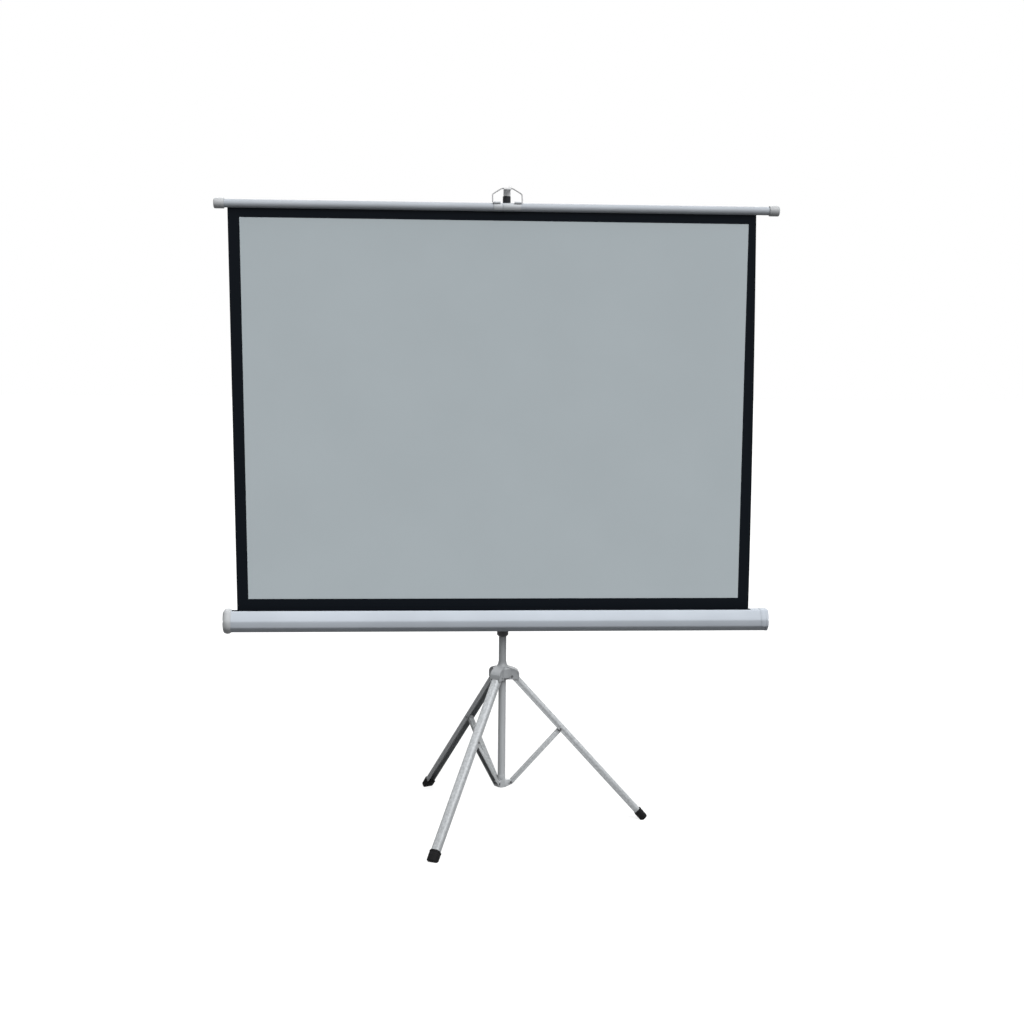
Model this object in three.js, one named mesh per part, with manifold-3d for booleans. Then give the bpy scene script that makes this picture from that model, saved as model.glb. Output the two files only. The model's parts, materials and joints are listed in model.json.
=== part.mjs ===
// Tripod projection screen with a spring roller case, a telescopic column and a folding tripod.
// Millimetres. +Z is up, the floor is z = 0, the screen faces -Y and x = 0 is the middle of the top bar.
import * as THREE from "three";
import { mergeVertices } from "three/addons/utils/BufferGeometryUtils.js";
import Module from "manifold-3d";

const wasm = await Module();
wasm.setup();

// Clearances
const GAP = 0.3; // between two pieces that touch
const SIDE_PLAY = 0.4; // beside a tab inside its fork
const SWING_CLEARANCE = 0.8; // round a leg end that turns under the hub's hood
const MERGE_TOLERANCE = 1e-4;
const THROUGH = 4; // how far a cutter runs past the face that it opens
const TRIM_EASE = 0.03; // keeps a trimming outline off the faces that it runs along
const CORNER_EDGE_SHARE = 0.45; // of an edge, at most, that one rounded corner takes

// Facets of round forms
const SIDES = 26; // tubes and turned pieces in view
const INNER_SIDES = 18; // round pieces inside the case
const SMALL_SIDES = 10; // rivets, bolts and their holes
const BEND_STEPS = 3; // rounded corners
const ARC_STEPS = 6; // rounded ends and hoods
const WIRE_SIDES = 8;
const SPRING_STEPS = 7; // per turn
const SPRING_SIDES = 5;

// Screen fabric
const PICTURE_WIDTH = 1695.7;
const PICTURE_HEIGHT = 1280;
const SIDE_BORDER = 35.3;
const BORDER_BELOW = 37.5; // from the case up to the picture
const BORDER_ABOVE = 30.7; // from the picture up to the top bar
const SHEET_X = -9.5; // the sheet hangs left of the middle of the bar and the case
const TAIL_HEIGHT = 600; // lowest stretch of the sheet, which winds up as the pole comes down
const FABRIC_THICKNESS = 0.9;
const HEM_BEAD_RADIUS = 3;
const WOUND_THICKNESS = 1.5; // turns of fabric that stay on the roller

// Column
const COLUMN_X = 24.7; // the column stands right of the bar's middle
const TUBE_DIAMETER = 26;
const TUBE_WALL = 1;
const TUBE_TOP_Z = 1414;
const ROD_ABOVE_HUB = 190; // centre rod that stays inside the tube
const POLE_LENGTH = 864;
const POLE_WALL = 1;
const GUIDE_FLANGE = 10; // below the pole
const GUIDE_SPIGOT = 20; // inside the pole

// Pole lock collar and its thumb knob
const COLLAR_WALL = 4.5;
const COLLAR_HEIGHT = 50;
const COLLAR_ABOVE_TUBE = 22;
const KNOB_RADIUS = 13;
const KNOB_LOBES = 6;
const KNOB_LOBE_DEPTH = 1.4;
const KNOB_THICKNESS = 12;
const KNOB_STEM_RADIUS = 3;
const KNOB_BOSS_RADIUS = 8;
const KNOB_BOSS_REACH = 9; // boss length past the collar or sleeve

// Case: front ridge, sloping upper face, undercut middle face and a chamfered bottom
const CASE_X = 5.9; // the case sits right of the bar's middle
const CASE_OVERHANG = 52.2; // end caps past the sheet's width, with the sheet in the middle
const CASE_TOP_Z = 759;
const CASE_DEPTH = 60;
const CASE_WALL = 1.5;
const UPPER_FACE_HEIGHT = 32;
const UPPER_FACE_SETBACK = 16.3;
const MIDDLE_FACE_HEIGHT = 22.5;
const MIDDLE_FACE_UNDERCUT = 2.2;
const LOWER_CHAMFER = 18;
const BACK_CHAMFER = 6;
const CASE_CORNER_RADIUS = 4;
const SLOT_WIDTH = 4;
const CAP_END_WALL = 10; // past the shell's end
const CAP_GROOVE_RADIUS = 5; // across the ridge of each cap
const BULGE_RIM = 5.5; // how far the left cap's bulge stands proud of the case
const BULGE_HEIGHT = 14; // from the bulge's crown down to its end face
const BULGE_HALF_LENGTH = 16;
const BULGE_LIP = 1.2; // left proud of the case where the bulge runs out
const PLUG_RIM = 0.8; // how far the right cap stands proud of the case
const PLUG_ROUNDING = 4;
const PLUG_SPIGOT_WALL = 2;
const PLUG_SPIGOT_LENGTH = 12;
const SOCKET_RADIUS = 10;
const SOCKET_LENGTH = 14;

// Roller inside the case
const ROLLER_DIAMETER = 36;
const ROLLER_WALL = 1.2;
const ROLLER_END_PLAY = 6;
const PLUG_LENGTH = 20;
const SPINDLE_RADIUS = 4;
const SPINDLE_LENGTH = 240;
const SPRING_RADIUS = 9;
const SPRING_WIRE_RADIUS = 1.1;
const SPRING_TURNS = 8;
const SPRING_LENGTH = 150;

// Sleeve and bracket that carry the case on the column
const SLEEVE_WALL = 6.5;
const SLEEVE_HEIGHT = 92;
const SLEEVE_DROP = 8; // below the case's top
const SLEEVE_TAPER = 5;
const PAD_WIDTH = 30;
const BRACKET_WIDTH = 64;
const BRACKET_HEIGHT = 52;
const BRACKET_THICKNESS = 2.5;
const BOLT_RADIUS = 2.2;
const BOLT_HEAD_RADIUS = 4.4;
const BOLT_HEAD_HEIGHT = 2.6;
const BOLT_HEAD_CROWN = 1.3; // flat of the head past the shank
const BOLT_SPACING_X = 50;
const BOLT_SPACING_Z = 38;

// Top bar, its clips and the wire bail
const BAR_OVERHANG = 64; // end caps past the sheet's width, with the sheet in the middle
const BAR_DIAMETER = 28;
const BAR_WALL = 1.4;
const BAR_SLOT_WIDTH = 2.5;
const BAR_CAP_DIAMETER = 35;
const BAR_CAP_LENGTH = 35;
const BAR_CAP_END_WALL = 6;
const BAR_CAP_ROUNDING = 6;
const BAR_CAP_CHAMFER = 1.2;
const WIRE_DIAMETER = 4.8;
const BAIL_HALF_WIDTH = 49.6;
const BAIL_SHOULDER = 33;
const BAIL_RISE = 55;
const BAIL_TOP_HALF_WIDTH = 18.5;
const BAIL_CORNER = 6;
const BAIL_TILT = THREE.MathUtils.degToRad(27); // leans back onto the hook
const BAIL_SWING = THREE.MathUtils.degToRad(16); // play inside the hook
const TRUNNION_LENGTH = 24;
const CLIP_THICKNESS = 2;
const CLIP_SEAM = 2.5;
const CLIP_SEAM_X = -15.5; // from the column
const CLIP_END_GAP = 4; // from the bail's side wire
const KNUCKLE_LENGTH = 22;
const KNUCKLE_WALL = 1.5;
const KNUCKLE_ANGLE = THREE.MathUtils.degToRad(50); // above the bar's front
const CLIP_WRAP_ANGLE = THREE.MathUtils.degToRad(40); // below the bar's front

// Pole head and hook
const HEAD_WALL = 1.4;
const HEAD_HEIGHT = 41;
const HOOK_STEM = 21.5; // from the head's top up to the hook's shelf
const HOOK_WIDTH = 24;
const HOOK_THICKNESS = 2.5;
const HOOK_PLATE_Y = -7; // rear face, in front of the pole's axis
const HOOK_ROOT = 8;
const HOOK_ROOT_WIDTH = 18;
const HOOK_BEND = 0.8;
const HOOK_LIP = 2.4;
const HOOK_FINGER_WIDTH = 8;
const HOOK_FINGER = 8.5;

// Tripod
const LEG_COUNT = 3;
const SPREAD = THREE.MathUtils.degToRad(42.2); // leg from the vertical
const LINK = 256.1; // hub pivot to strut pivot, and strut pivot to spider pivot
const PIVOT_OFFSET = 33; // hub and spider pivots from the column's axis
const PIVOT_INSET = 6; // pivots from the leg's open edge
const LEG_LENGTH = 692.3; // below the hub pivot
const LEG_WIDTH = 29.5;
const LEG_DEPTH = 22;
const LEG_WALL = 1.5;
const LEG_CORNER = 9;
const STRUT_WIDTH = 18;
const STRUT_DEPTH = 15;
const STRUT_WALL = 1.4;
const STRUT_CORNER = 3;
const FORK_CUTBACK = 10.5; // strut web cut away above the spider pivot
const FOOT_LENGTH = 40;
const FOOT_WALL = 2.2;
const FOOT_BASE = 8;
const FOOT_ROUNDING = 3;
const SOLE_CUT = 5.5; // height of the corner that the floor flat takes off
const RIVET_RADIUS = 2.5;
const RIVET_HEAD_RADIUS = 4.2;
const RIVET_HEAD_HEIGHT = 1.3;

// Hub and spider
const HUB_WALL = 3.2; // round the tube
const HOOD_WALL = 2.8;
const HOOD_REACH = 25; // hood end past its pivot
const HOOD_CROWN = THREE.MathUtils.degToRad(72); // where the hood's curve meets its sloping top
const NOSE_ANGLE = THREE.MathUtils.degToRad(45); // where the hood's bore ends and its nose begins
const HUB_BELOW_PIVOT = 11;
const NECK_HEIGHT = 15;
const NECK_SPREAD = 16;
const NECK_RIM = 1; // wall left at the neck's top
const SPIDER_WALL = 1.6;
const SPIDER_BELOW_PIVOT = 18;
const SPIDER_ABOVE_PIVOT = 26;
const SPIDER_FLOOR = 4;
const TAB_RADIUS = 7.5;
const TAB_UNDERSIDE = THREE.MathUtils.degToRad(60); // where the rounded end runs out below
const ROD_RIVET_Z = 17; // above the spider's pivots

// Sizes that follow from the ones above
const TUBE_RADIUS = TUBE_DIAMETER / 2;
const TUBE_BORE = TUBE_RADIUS - TUBE_WALL;
const POLE_RADIUS = TUBE_BORE - GAP;
const POLE_BORE = POLE_RADIUS - POLE_WALL;
const SLEEVE_RADIUS = TUBE_RADIUS + GAP + SLEEVE_WALL;
const FABRIC_WIDTH = PICTURE_WIDTH + 2 * SIDE_BORDER;
const CASE_LENGTH = FABRIC_WIDTH + 2 * CASE_OVERHANG;
const CASE_HEIGHT = UPPER_FACE_HEIGHT + MIDDLE_FACE_HEIGHT + LOWER_CHAMFER;
const CASE_BACK_Y = -(SLEEVE_RADIUS + BRACKET_THICKNESS + 2 * GAP);
const ROLLER_Y = CASE_BACK_Y - CASE_DEPTH / 2;
const ROLLER_Z = CASE_TOP_Z - CASE_HEIGHT / 2;
const ROLLER_RADIUS = ROLLER_DIAMETER / 2;
const ROLLER_BORE = ROLLER_RADIUS - ROLLER_WALL;
const WOUND_RADIUS = ROLLER_RADIUS + GAP + WOUND_THICKNESS;
const FABRIC_Y = ROLLER_Y + WOUND_RADIUS + GAP + FABRIC_THICKNESS / 2;
const BAR_LENGTH = FABRIC_WIDTH + 2 * BAR_OVERHANG;
const BAR_RADIUS = BAR_DIAMETER / 2;
const BAR_BORE = BAR_RADIUS - BAR_WALL;
const BAR_Z = CASE_TOP_Z + BORDER_BELOW + PICTURE_HEIGHT + BORDER_ABOVE + BAR_RADIUS;
const WIRE_RADIUS = WIRE_DIAMETER / 2;
const KNUCKLE_BORE = WIRE_RADIUS + GAP;
const KNUCKLE_RADIUS = KNUCKLE_BORE + KNUCKLE_WALL;
const KNUCKLE_REACH = BAR_RADIUS + GAP + KNUCKLE_RADIUS;
const KNUCKLE_Y = FABRIC_Y - KNUCKLE_REACH * Math.cos(KNUCKLE_ANGLE);
const KNUCKLE_Z = BAR_Z + KNUCKLE_REACH * Math.sin(KNUCKLE_ANGLE);
const BAIL_WIRE_Z = KNUCKLE_Z + BAIL_RISE * Math.cos(BAIL_TILT);
const SHELF_Z = BAIL_WIRE_Z - WIRE_RADIUS - GAP; // where the bail rests on the hook
const HEAD_TOP_Z = SHELF_Z - HOOK_STEM;
const RIVET_HOLE = RIVET_RADIUS + GAP;
const HUB_RADIUS = TUBE_RADIUS + GAP + HUB_WALL;
const LEG_OUTER = LEG_DEPTH - PIVOT_INSET; // pivot to the leg's web face
const LEG_BORE = LEG_WIDTH - 2 * LEG_WALL;
const STOP_X = HUB_RADIUS + GAP; // a spread leg's end meets the hub here
const LEG_TOP = (PIVOT_OFFSET - PIVOT_INSET * Math.cos(SPREAD) - STOP_X) / Math.sin(SPREAD);
const HOOD_BORE = Math.hypot(LEG_OUTER, LEG_TOP) + SWING_CLEARANCE;
const HOOD_RADIUS = HOOD_BORE + HOOD_WALL;
const HOOD_SLOT = LEG_WIDTH + 2 * GAP;
const HOOD_WIDTH = HOOD_SLOT + 2 * HOOD_WALL;
const TAB_WIDTH = STRUT_WIDTH - 2 * STRUT_WALL - 2 * SIDE_PLAY;
const FOOT_END = LEG_LENGTH + GAP + FOOT_BASE; // below the hub pivot, along the leg
const HUB_Z =
  FOOT_END * Math.cos(SPREAD) + (PIVOT_INSET + GAP + FOOT_WALL) * Math.sin(SPREAD) - SOLE_CUT;
const SPIDER_Z = HUB_Z - 2 * LINK * Math.cos(SPREAD);

// Finishes
const finish = (color, roughness, metalness) => ({ color, roughness, metalness });
const SILVER_PAINT = finish(0xb4b8bc, 0.42, 0.35);
const CASE_PAINT = finish(0xc3c8d0, 0.38, 0.2);
const GREY_PLASTIC = finish(0xa9abac, 0.55, 0);
const BLACK_PLASTIC = finish(0x1b1c1e, 0.5, 0);
const DARK_PLASTIC = finish(0x3c3d40, 0.55, 0);
const RUBBER = finish(0x141415, 0.85, 0);
const STEEL = finish(0x9b9da0, 0.35, 0.9);
const DARK_STEEL = finish(0x4a4c4f, 0.4, 0.9);
const FABRIC_GREY = finish(0xa6adb3, 0.9, 0);
const FABRIC_BLACK = finish(0x101113, 0.9, 0);
const ZINC = finish(0xaeb0b2, 0.4, 0.8);

// Solids
function toSolid(geometry) {
  const bare = new THREE.BufferGeometry();
  bare.setAttribute("position", geometry.getAttribute("position"));
  bare.setIndex(geometry.index);
  const merged = mergeVertices(bare, MERGE_TOLERANCE);
  const vertProperties = merged.attributes.position.array;
  const triVerts = new Uint32Array(merged.index.array);
  return new wasm.Manifold(new wasm.Mesh({ numProp: 3, vertProperties, triVerts }));
}

function toGeometry(solid) {
  const mesh = solid.getMesh();
  const geometry = new THREE.BufferGeometry();
  geometry.setAttribute("position", new THREE.BufferAttribute(mesh.vertProperties, 3));
  geometry.setIndex(new THREE.BufferAttribute(mesh.triVerts, 1));
  return geometry;
}

function join(...geometries) {
  return toGeometry(geometries.map(toSolid).reduce((a, b) => a.add(b)));
}

function cut(geometry, ...cutters) {
  return toGeometry(cutters.map(toSolid).reduce((a, b) => a.subtract(b), toSolid(geometry)));
}

function box(sizeX, sizeY, sizeZ, x = 0, y = 0, z = 0) {
  return new THREE.BoxGeometry(sizeX, sizeY, sizeZ).translate(x, y, z);
}

// A cylinder on one of the axes, from one end to the other.
function rod(axis, radius, from, to, sides = SIDES) {
  const geometry = new THREE.CylinderGeometry(radius, radius, to - from, sides);
  geometry.translate(0, (from + to) / 2, 0);
  if (axis === "x") geometry.rotateZ(-Math.PI / 2);
  if (axis === "z") geometry.rotateX(Math.PI / 2);
  return geometry;
}

// A revolved profile of [radius, position along the axis] points.
function turned(axis, profile, sides = SIDES) {
  const points = profile.map(([radius, along]) => new THREE.Vector2(radius, along));
  const onAxis = points[0].x === 0;
  if (!onAxis) points.push(points[0].clone());
  if (THREE.ShapeUtils.area(points) < 0) points.reverse();
  const geometry = new THREE.LatheGeometry(points, sides);
  if (axis === "x") geometry.rotateZ(-Math.PI / 2);
  if (axis === "z") geometry.rotateX(Math.PI / 2);
  return geometry;
}

function tube(axis, outer, inner, from, to, sides = SIDES) {
  return turned(axis, [[inner, from], [outer, from], [outer, to], [inner, to]], sides);
}

// Extrusions: a (y, z) outline along X, and an (x, z) outline along Y, from one side to the other.
const ALONG_X = new THREE.Matrix4().makeBasis(
  new THREE.Vector3(0, 1, 0),
  new THREE.Vector3(0, 0, 1),
  new THREE.Vector3(1, 0, 0),
);

function extrudeX(shape, from, to, curveSegments = BEND_STEPS) {
  const geometry = new THREE.ExtrudeGeometry(shape, {
    depth: to - from,
    bevelEnabled: false,
    curveSegments,
  });
  return geometry.translate(0, 0, from).applyMatrix4(ALONG_X);
}

function extrudeY(shape, width, curveSegments = ARC_STEPS) {
  const geometry = new THREE.ExtrudeGeometry(shape, {
    depth: width,
    bevelEnabled: false,
    curveSegments,
  });
  return geometry.translate(0, 0, -width / 2).rotateX(Math.PI / 2);
}

function extrudeZ(shape, from, to, curveSegments = BEND_STEPS) {
  const geometry = new THREE.ExtrudeGeometry(shape, {
    depth: to - from,
    bevelEnabled: false,
    curveSegments,
  });
  return geometry.translate(0, 0, from);
}

// Outlines
function counterClockwise(points) {
  return THREE.ShapeUtils.area(points) < 0 ? [...points].reverse() : points;
}

// Moves every edge of a convex counter-clockwise outline outwards, or inwards where distance < 0.
function grow(points, distance) {
  return points.map((point, i) => {
    const before = points[(i + points.length - 1) % points.length];
    const after = points[(i + 1) % points.length];
    const inDirection = point.clone().sub(before).normalize();
    const outDirection = after.clone().sub(point).normalize();
    const inNormal = new THREE.Vector2(inDirection.y, -inDirection.x);
    const outNormal = new THREE.Vector2(outDirection.y, -outDirection.x);
    const shift = distance / (1 + inNormal.dot(outNormal));
    return point.clone().addScaledVector(inNormal.add(outNormal), shift);
  });
}

function roundedShape(points, radius) {
  const shape = new THREE.Shape();
  points.forEach((point, i) => {
    const before = points[(i + points.length - 1) % points.length];
    const after = points[(i + 1) % points.length];
    const shorterEdge = Math.min(point.distanceTo(before), point.distanceTo(after));
    const reach = Math.min(radius, CORNER_EDGE_SHARE * shorterEdge);
    const start = point.clone().addScaledVector(before.clone().sub(point).normalize(), reach);
    const end = point.clone().addScaledVector(after.clone().sub(point).normalize(), reach);
    if (i === 0) shape.moveTo(start.x, start.y);
    else shape.lineTo(start.x, start.y);
    shape.quadraticCurveTo(point.x, point.y, end.x, end.y);
  });
  shape.closePath();
  return shape;
}

function polygon(...pairs) {
  return new THREE.Shape(pairs.map(([x, y]) => new THREE.Vector2(x, y)));
}

// Scene graph
const screen = new THREE.Group();
const column = new THREE.Group();
column.position.x = COLUMN_X;
screen.add(column);
const housing = new THREE.Group();
housing.position.x = CASE_X;
screen.add(housing);

function place(parent, name, geometry, look) {
  const mesh = new THREE.Mesh(faceted(geometry), new THREE.MeshStandardMaterial(look));
  mesh.name = name;
  parent.add(mesh);
  return mesh;
}

function faceted(geometry) {
  const flat = geometry.index ? geometry.toNonIndexed() : geometry;
  flat.computeVertexNormals();
  return flat;
}

function rivet(grip) {
  const under = grip / 2 + GAP;
  const end = under + RIVET_HEAD_HEIGHT;
  const profile = [
    [0, -end],
    [RIVET_HEAD_RADIUS, -end],
    [RIVET_HEAD_RADIUS, -under],
    [RIVET_RADIUS, -under],
    [RIVET_RADIUS, under],
    [RIVET_HEAD_RADIUS, under],
    [RIVET_HEAD_RADIUS, end],
    [0, end],
  ];
  return turned("y", profile, SMALL_SIDES);
}

function rivetHole(width, x, z) {
  return rod("y", RIVET_HOLE, -width, width, SMALL_SIDES).translate(x, 0, z);
}

// Hub: a core on the tube with a hood over each leg's end
function hubGeometry() {
  const shoulderX = HUB_RADIUS - PIVOT_OFFSET;
  const hoodTop = (HOOD_RADIUS - shoulderX * Math.cos(HOOD_CROWN)) / Math.sin(HOOD_CROWN);
  const neckTop = hoodTop + NECK_HEIGHT;
  const neckRadius = TUBE_RADIUS + GAP + NECK_RIM;
  const neck = new THREE.Path();
  neck.moveTo(HUB_RADIUS + NECK_SPREAD, HOOD_RADIUS);
  neck.quadraticCurveTo(neckRadius, hoodTop, neckRadius, neckTop);
  const neckProfile = neck.getPoints(ARC_STEPS).map((point) => [point.x, point.y]);
  const core = turned("z", [
    [0, -HUB_BELOW_PIVOT],
    [HUB_RADIUS + NECK_SPREAD / 2, -HUB_BELOW_PIVOT],
    [HUB_RADIUS + NECK_SPREAD, -HUB_BELOW_PIVOT + NECK_SPREAD / 2],
    ...neckProfile,
    [0, neckTop],
  ]);
  const endAngle = Math.acos(HOOD_REACH / HOOD_RADIUS);
  const hood = new THREE.Shape();
  hood.moveTo(0, -HUB_BELOW_PIVOT);
  hood.lineTo(PIVOT_OFFSET + HOOD_REACH, -HUB_BELOW_PIVOT);
  hood.absarc(PIVOT_OFFSET, 0, HOOD_RADIUS, endAngle, HOOD_CROWN);
  hood.lineTo(HUB_RADIUS, hoodTop);
  hood.lineTo(0, hoodTop);
  const overWeb = (x) => (LEG_OUTER + SWING_CLEARANCE - x * Math.cos(SPREAD)) / Math.sin(SPREAD);
  const noseX = HOOD_BORE * Math.cos(NOSE_ANGLE);
  const slotEndX = HOOD_RADIUS + THROUGH;
  const slotBottom = Math.min(-HUB_BELOW_PIVOT, overWeb(slotEndX)) - THROUGH;
  const slot = new THREE.Shape();
  slot.moveTo(HUB_RADIUS, slotBottom);
  slot.lineTo(PIVOT_OFFSET + slotEndX, slotBottom);
  slot.lineTo(PIVOT_OFFSET + slotEndX, overWeb(slotEndX));
  slot.lineTo(PIVOT_OFFSET + noseX, overWeb(noseX));
  slot.absarc(PIVOT_OFFSET, 0, HOOD_BORE, NOSE_ANGLE, Math.PI / 2);
  slot.lineTo(HUB_RADIUS, HOOD_BORE);
  const hoods = legAngles().map((angle) => extrudeY(hood, HOOD_WIDTH).rotateZ(angle));
  const slots = legAngles().map((angle) => extrudeY(slot, HOOD_SLOT).rotateZ(angle));
  const holes = legAngles().map((angle) => rivetHole(HOOD_WIDTH, PIVOT_OFFSET, 0).rotateZ(angle));
  const bore = rod("z", TUBE_RADIUS + GAP, -HUB_BELOW_PIVOT - THROUGH, neckTop + THROUGH);
  return cut(join(core, ...hoods), bore, ...slots, ...holes);
}

function legAngles() {
  return Array.from({ length: LEG_COUNT }, (_, i) => (i * 2 * Math.PI) / LEG_COUNT);
}

// Spider: a cup on the rod's end with a tab for each strut
function spiderGeometry() {
  const coreRadius = POLE_RADIUS + GAP + SPIDER_WALL;
  const chamfer = SPIDER_WALL / 2;
  const core = turned("z", [
    [0, -SPIDER_BELOW_PIVOT],
    [coreRadius - chamfer, -SPIDER_BELOW_PIVOT],
    [coreRadius, -SPIDER_BELOW_PIVOT + chamfer],
    [coreRadius, SPIDER_ABOVE_PIVOT - chamfer],
    [coreRadius - chamfer, SPIDER_ABOVE_PIVOT],
    [0, SPIDER_ABOVE_PIVOT],
  ]);
  const tab = new THREE.Shape();
  tab.moveTo(0, -SPIDER_BELOW_PIVOT);
  tab.lineTo(coreRadius - chamfer, -SPIDER_BELOW_PIVOT);
  tab.absarc(PIVOT_OFFSET, 0, TAB_RADIUS, -TAB_UNDERSIDE, Math.PI / 2);
  tab.lineTo(0, TAB_RADIUS);
  const tabs = legAngles().map((angle) => extrudeY(tab, TAB_WIDTH).rotateZ(angle));
  const holes = legAngles().map((angle) => rivetHole(TAB_WIDTH, PIVOT_OFFSET, 0).rotateZ(angle));
  const seat = -SPIDER_BELOW_PIVOT + SPIDER_FLOOR;
  const bore = rod("z", POLE_RADIUS + GAP, seat, SPIDER_ABOVE_PIVOT + THROUGH);
  return cut(join(core, ...tabs), bore, ...holes, rodRivetHole());
}

function rodRivetHole() {
  return rivetHole(PIVOT_OFFSET, 0, ROD_RIVET_Z);
}

// A leg's outer outline in (x, y), moved outwards by a margin, from one open edge round to the other
function legOutline(margin) {
  const inner = -PIVOT_INSET - margin;
  const half = LEG_WIDTH / 2;
  const bend = LEG_CORNER + margin;
  const outline = new THREE.Shape();
  outline.moveTo(inner, -half - margin);
  outline.lineTo(0, -half - margin);
  outline.absarc(LEG_OUTER - LEG_CORNER, LEG_CORNER - half, bend, -Math.PI / 2, 0);
  outline.absarc(LEG_OUTER - LEG_CORNER, half - LEG_CORNER, bend, 0, Math.PI / 2);
  outline.lineTo(inner, half + margin);
  return outline;
}

// Leg: a channel that opens towards the column, hanging down from its pivot
function legGeometry() {
  const inner = -PIVOT_INSET;
  const half = LEG_WIDTH / 2;
  const channel = legOutline(0);
  channel.lineTo(inner, half - LEG_WALL);
  const bend = LEG_CORNER - LEG_WALL;
  channel.absarc(LEG_OUTER - LEG_CORNER, half - LEG_CORNER, bend, Math.PI / 2, 0, true);
  channel.absarc(LEG_OUTER - LEG_CORNER, LEG_CORNER - half, bend, 0, -Math.PI / 2, true);
  channel.lineTo(inner, LEG_WALL - half);
  const bar = extrudeZ(channel, -LEG_LENGTH, LEG_TOP);
  return cut(bar, rivetHole(LEG_WIDTH, 0, 0), rivetHole(LEG_WIDTH, 0, -LINK));
}

// Foot: a rubber cap over the leg's end, with a flat where it stands on the floor
function footGeometry() {
  const body = new THREE.ExtrudeGeometry(legOutline(GAP + FOOT_WALL), {
    depth: FOOT_LENGTH - 2 * FOOT_ROUNDING,
    bevelThickness: FOOT_ROUNDING,
    bevelSize: FOOT_ROUNDING,
    bevelOffset: -FOOT_ROUNDING,
    bevelSegments: 2,
    curveSegments: BEND_STEPS,
  });
  body.translate(0, 0, -FOOT_END + FOOT_ROUNDING);
  const pocket = extrudeZ(legOutline(GAP), -FOOT_END + FOOT_BASE, -FOOT_END + FOOT_LENGTH + THROUGH);
  const ground = box(FOOT_LENGTH * 4, FOOT_LENGTH * 2, FOOT_LENGTH, 0, 0, -FOOT_LENGTH / 2);
  const legTop = new THREE.Vector3(PIVOT_OFFSET, 0, HUB_Z);
  ground.translate(PIVOT_OFFSET + FOOT_END * Math.sin(SPREAD), 0, 0);
  ground.translate(-legTop.x, 0, -legTop.z).rotateY(SPREAD);
  return cut(body, pocket, ground);
}

// Strut: a channel that opens away from the column, hanging down from its upper pivot
function strutGeometry() {
  const halfDepth = STRUT_DEPTH / 2;
  const half = STRUT_WIDTH / 2;
  const channel = new THREE.Shape();
  channel.moveTo(halfDepth, half);
  channel.lineTo(STRUT_CORNER - halfDepth, half);
  channel.absarc(STRUT_CORNER - halfDepth, half - STRUT_CORNER, STRUT_CORNER, Math.PI / 2, Math.PI);
  channel.absarc(
    STRUT_CORNER - halfDepth,
    STRUT_CORNER - half,
    STRUT_CORNER,
    Math.PI,
    1.5 * Math.PI,
  );
  channel.lineTo(halfDepth, -half);
  channel.lineTo(halfDepth, STRUT_WALL - half);
  channel.lineTo(STRUT_WALL - halfDepth, STRUT_WALL - half);
  channel.lineTo(STRUT_WALL - halfDepth, half - STRUT_WALL);
  channel.lineTo(halfDepth, half - STRUT_WALL);
  const bar = extrudeZ(channel, -LINK - halfDepth, halfDepth);
  const fork = box(STRUT_DEPTH, STRUT_WIDTH - 2 * STRUT_WALL, FORK_CUTBACK + halfDepth + THROUGH);
  fork.translate(-halfDepth, 0, -LINK + (FORK_CUTBACK - halfDepth - THROUGH) / 2);
  const rounded = new THREE.Shape();
  rounded.absarc(0, 0, halfDepth + TRIM_EASE, 0, Math.PI);
  rounded.absarc(0, -LINK, halfDepth + TRIM_EASE, Math.PI, 2 * Math.PI);
  const envelope = toSolid(extrudeY(rounded, STRUT_WIDTH + THROUGH));
  const trimmed = toGeometry(toSolid(bar).intersect(envelope));
  return cut(trimmed, fork, rivetHole(STRUT_WIDTH, 0, 0), rivetHole(STRUT_WIDTH, 0, -LINK));
}

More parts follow.
